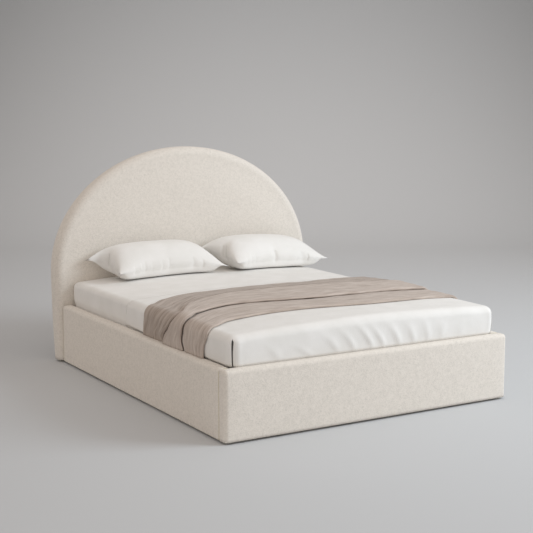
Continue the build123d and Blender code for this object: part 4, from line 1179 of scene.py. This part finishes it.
# Pillows
pillow_half_x = 0.400
pillow_half_y = 0.215
pillow_cells = 0.0068
pillow_frames = 36
pillow_gap = 0.018
pillow_depth = 0.320
pillow_half_width = 0.368
pillow_front = 0.326
pillow_seam_height = 0.062
pillow_droops = {-1: 0.018, 1: -0.006}
pillow_tilt = math.radians(12.6)
pillow_rise = 0.108
pillow_lean = 0.077
pillow_end = 0.22
pillow_thin = 0.2
pillow_skin = 0.0015
pillow_press = 0.006
pillow_wall_press = 0.015
pillow_full_share = 0.985
pillow_fullest = 1.15
pillow_drop = 0.092
pillow_flange = 0.010
pillow_evenness = 0.6
pillow_easing = 60
pillow_clear = 0.075
pillow_slide = 0.58
pillow_turns = {-1: 0.0, 1: math.radians(7.0)}
pillow_slant = 0.225
cloth_settings = {
    "quality": 6,
    "mass": 0.25,
    "tension_stiffness": 12.0,
    "compression_stiffness": 12.0,
    "shear_stiffness": 6.0,
    "bending_stiffness": 0.35,
    "tension_damping": 12.0,
    "bending_damping": 0.6,
    "air_damping": 3.0,
    "use_pressure": True,
    "uniform_pressure_force": 5.0,
}


def flat_pillow(seed):
    """Two panels sewn at their edges, slightly apart in the middle. Returns the points, the
    quads, each point's panel (1 upper, -1 lower, 0 on the seam) and the seam's way out."""
    count_x, count_y = (int(2 * half / pillow_cells) for half in (pillow_half_x, pillow_half_y))
    p, q = np.meshgrid(np.linspace(-1, 1, count_x), np.linspace(-1, 1, count_y), indexing="ij")
    gap = pillow_gap * (1 - p**8) * (1 - q**8) * (1.0 + 0.18 * ripple(p, q, 0.0, 4.0, seed))
    flat = [p * pillow_half_x, q * pillow_half_y]
    points = np.concatenate([np.stack([*flat, sign * gap], -1).reshape(-1, 3) for sign in (1, -1)])
    faces = quads(count_x, count_y)
    faces = np.concatenate([faces, faces[:, ::-1] + count_x * count_y])
    first, faces = weld(points, faces)
    points = points[first]
    out = np.stack([p, q], -1).reshape(-1, 2)
    out = np.where(np.abs(out) > 1 - tiny, out, 0.0)
    panel = np.sign(np.where(np.abs(points[:, 2]) < tiny, 0.0, points[:, 2]))
    return points, faces, panel, np.concatenate([out, out])[first]


def inflated(points, faces):
    mesh = bpy.data.meshes.new("pillow_cloth")
    mesh.from_pydata(points.tolist(), [], faces.tolist())
    cloth_object = bpy.data.objects.new("pillow_cloth", mesh)
    bpy.context.scene.collection.objects.link(cloth_object)
    modifier = cloth_object.modifiers.new("cloth", "CLOTH")
    for name, value in cloth_settings.items():
        setattr(modifier.settings, name, value)
    modifier.settings.effector_weights.gravity = 0.0
    modifier.collision_settings.use_collision = False
    modifier.point_cache.frame_start = 1
    modifier.point_cache.frame_end = pillow_frames
    for step in range(1, pillow_frames + 1):
        bpy.context.scene.frame_set(step)
    depsgraph = bpy.context.evaluated_depsgraph_get()
    blown_mesh = bpy.data.meshes.new_from_object(cloth_object.evaluated_get(depsgraph))
    blown = np.zeros(len(blown_mesh.vertices) * 3, np.float32)
    blown_mesh.vertices.foreach_get("co", blown)
    bpy.data.objects.remove(cloth_object)
    bpy.data.meshes.remove(blown_mesh)
    bpy.data.meshes.remove(mesh)
    bpy.context.scene.frame_set(1)
    return blown.reshape(-1, 3).astype(float)


def eased(blown, faces, panel):
    """The blown-up pillow without its sharp creases: away from the seam, each point moves halfway
    to its neighbours' mean, again and again."""
    edges = np.concatenate([faces[:, [k, (k + 1) % 4]] for k in range(4)])
    edges = np.concatenate([edges, edges[:, ::-1]])
    count = np.bincount(edges[:, 0], minlength=len(blown))
    for step in range(pillow_easing):
        total = [np.bincount(edges[:, 0], axis[edges[:, 1]], len(blown)) for axis in blown.T]
        mean = np.stack(total / count, -1)
        blown = np.where((panel != 0)[:, None], (blown + mean) / 2, blown)
    return blown


def laid_down(blown, panel, out, side, centre_x):
    """Lay the pillow on the sheet beside the headboard. Its fullness is each point's share of the
    blown-up height, evened out by a formula. The seam lies in a plane that rises to the rear, the
    upper panel stands over it by the fullness, and the lower one hangs by its square root, so
    that the front drops steeply from the seam, and is pressed flat where the sheet is. The rear
    is held clear of the headboard, which the platform tilts it towards. What is held back also
    moves across, along the line of sight."""
    plan = blown[:, :2] - (blown[:, :2].max(0) + blown[:, :2].min(0)) / 2
    share = plan / plan.max(0)
    share_x, share_y = share.T
    plan_x, plan_y = (share * [pillow_half_width, pillow_depth / 2] + out * pillow_flange).T
    full = np.abs(blown[:, 2])
    full = full / np.quantile(full, pillow_full_share)
    full = np.clip(full, 0.0, pillow_fullest) * (panel != 0)
    across, along = np.clip(np.abs(share), 0.0, 1.0).T
    slope = np.where(share_y < 0, 1.0 - along**2, np.sqrt(1.0 - along**4))
    even = np.sqrt(1.0 - across**4) * slope
    puckered = full * np.where(share_y < 0, np.sqrt(1.0 - along**2), 1.0)
    upper = (puckered + (even - puckered) * pillow_evenness) * (panel > 0)
    seam = pillow_seam_height + (plan_y + pillow_depth / 2) * math.tan(pillow_tilt)
    seam = seam - pillow_droops[side] * np.clip(share_x, 0.0, 1.0) ** 4
    over = pillow_rise * (1.0 - pillow_lean * share_x) * upper
    thin = pillow_thin + (1 - pillow_thin) * smooth_step((1.0 - np.abs(share_x)) / pillow_end)
    under = np.where(panel < 0, pillow_drop * np.sqrt(full) * thin, 0.0)
    room = pressed(seam + over - under, pillow_press)
    turn = pillow_turns[side]
    x = centre_x + plan_x * math.cos(turn) - plan_y * (math.sin(turn) + pillow_slant)
    y = plan_x * math.sin(turn) + plan_y * math.cos(turn)
    y = board_front - pillow_front + pillow_depth / 2 + y
    wall = board_front - pillow_clear
    held = wall - pressed(wall - y, pillow_wall_press)
    x = x - pillow_slide * (y - held)
    sheet_z = sheet_high.z - x**2 / (2 * crown_radius)
    return np.stack([x, held, sheet_z + pillow_skin + room], -1)


def pressed(room, softness):
    """The room left above a surface: unchanged far from it, never below nothing near it."""
    return softness * np.logaddexp(0.0, room / softness)


def pillow(side, name, node, seed):
    """One pillow, blown up flat, then laid on the sheet by the headboard."""
    points, faces, panel, out = flat_pillow(seed)
    blown = eased(inflated(points, faces), faces, panel)
    low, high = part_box(node)
    placed = laid_down(blown, panel, out, side, (low.x + high.x) / 2)
    build(name, node, "lift_platform", placed, faces)


# Set, light and camera
stage_depth = 9.0
stage_bend = 3.0
stage_height = 10.0
stage_half = 16.0
stage_floor = (-14.0, -6.0, 0.0)
stage_yaw = math.radians(-30.0)
key_size = 3.2
key_energy = 298.0
key_colour = (0.82, 0.92, 1.0)
key_place = (4.6, -4.1, 3.8)
key_aim = (0.0, 0.0, 0.4)
world_colour = (1.0, 0.925, 0.868, 1.0)
world_strength = 0.70
camera_sensor = 36.0
camera_lens = 81.14
camera_reach = 100.0
camera_place = (-3.5285, -5.9298, 1.6563)
camera_dip = 8.204
camera_turn = -30.765


def backdrop():
    """A pale floor that curves up into a wall, wide enough for every view. Its colour is painted darker
    upwards and towards the sides and lighter further back: painted falloff of light.
    """
    sine, cosine = quarter(14)
    bend_y, bend_z = stage_depth - stage_bend * (1 - sine), stage_bend * (1 - cosine)
    y, z = joined(((np.array(stage_floor), 0.0), (bend_y, bend_z), ([stage_depth], stage_height)))
    x, y = np.meshgrid(np.linspace(-stage_half, stage_half, 9), y, indexing="ij")
    sine, cosine = math.sin(stage_yaw), math.cos(stage_yaw)
    turned = [x * cosine - y * sine, x * sine + y * cosine, np.broadcast_to(z, x.shape)]
    mesh = bpy.data.meshes.new("studio_floor")
    mesh.from_pydata(np.stack(turned, -1).reshape(-1, 3).tolist(), [], quads(*x.shape).tolist())
    mesh.polygons.foreach_set("use_smooth", np.ones(len(mesh.polygons), bool))
    paint = Paint("studio_grey")
    across, along, up = paint.parts(paint.turned(-stage_yaw))
    # Painted light: the grey falls off upwards and to the sides, and rises further back
    grey = 0.615 + across * 0.003 - across**2 * 0.0133 - up * 0.062 + along * 0.0137
    stops = [(low, tuple(low * part for part in (0.983, 1.0, 1.017, 1.0))) for low in (0.40, 0.74)]
    mesh.materials.append(paint.finish(grey, stops, Roughness=0.9, Specular_IOR_Level=0.1))
    floor = bpy.data.objects.new("studio_floor", mesh)
    bpy.context.scene.collection.objects.link(floor)


def lights():
    """A large soft key from the right of the foot end, and an even, faintly warm world."""
    data = bpy.data.lights.new("key", "AREA")
    data.shape = "SQUARE"
    data.size = key_size
    data.energy = key_energy
    data.color = key_colour
    light = bpy.data.objects.new("key", data)
    light.location = key_place
    aim = Vector(key_aim) - Vector(light.location)
    light.rotation_euler = aim.to_track_quat("-Z", "Y").to_euler()
    bpy.context.scene.collection.objects.link(light)
    world = bpy.data.worlds.new("even_grey")
    world.use_nodes = True
    background = world.node_tree.nodes["Background"]
    background.inputs["Color"].default_value = world_colour
    background.inputs["Strength"].default_value = world_strength
    bpy.context.scene.world = world


def camera():
    """The camera at the photograph's viewing angle."""
    data = bpy.data.cameras.new("view")
    data.sensor_width = camera_sensor
    data.lens = camera_lens
    data.clip_end = camera_reach
    view = bpy.data.objects.new("view", data)
    view.location = camera_place
    view.rotation_euler = (math.radians(90.0 - camera_dip), 0.0, math.radians(camera_turn))
    bpy.context.scene.collection.objects.link(view)
    bpy.context.scene.camera = view


bpy.context.scene.view_settings.view_transform = "Standard"
paint_nodes()
headboard_cover()
for side, word in ((-1, "left"), (1, "right")):
    side_rail_cover(side, f"{word}_rail_boucle", f"{word}_rail_cover")
foot_rail_cover()
mattress()
fitted_sheet()
bedspread()
throw()
pillow(-1, "left_cotton_pillow", "left_pillow", 1.0)
pillow(1, "right_cotton_pillow", "right_pillow", 2.0)
backdrop()
lights()
camera()
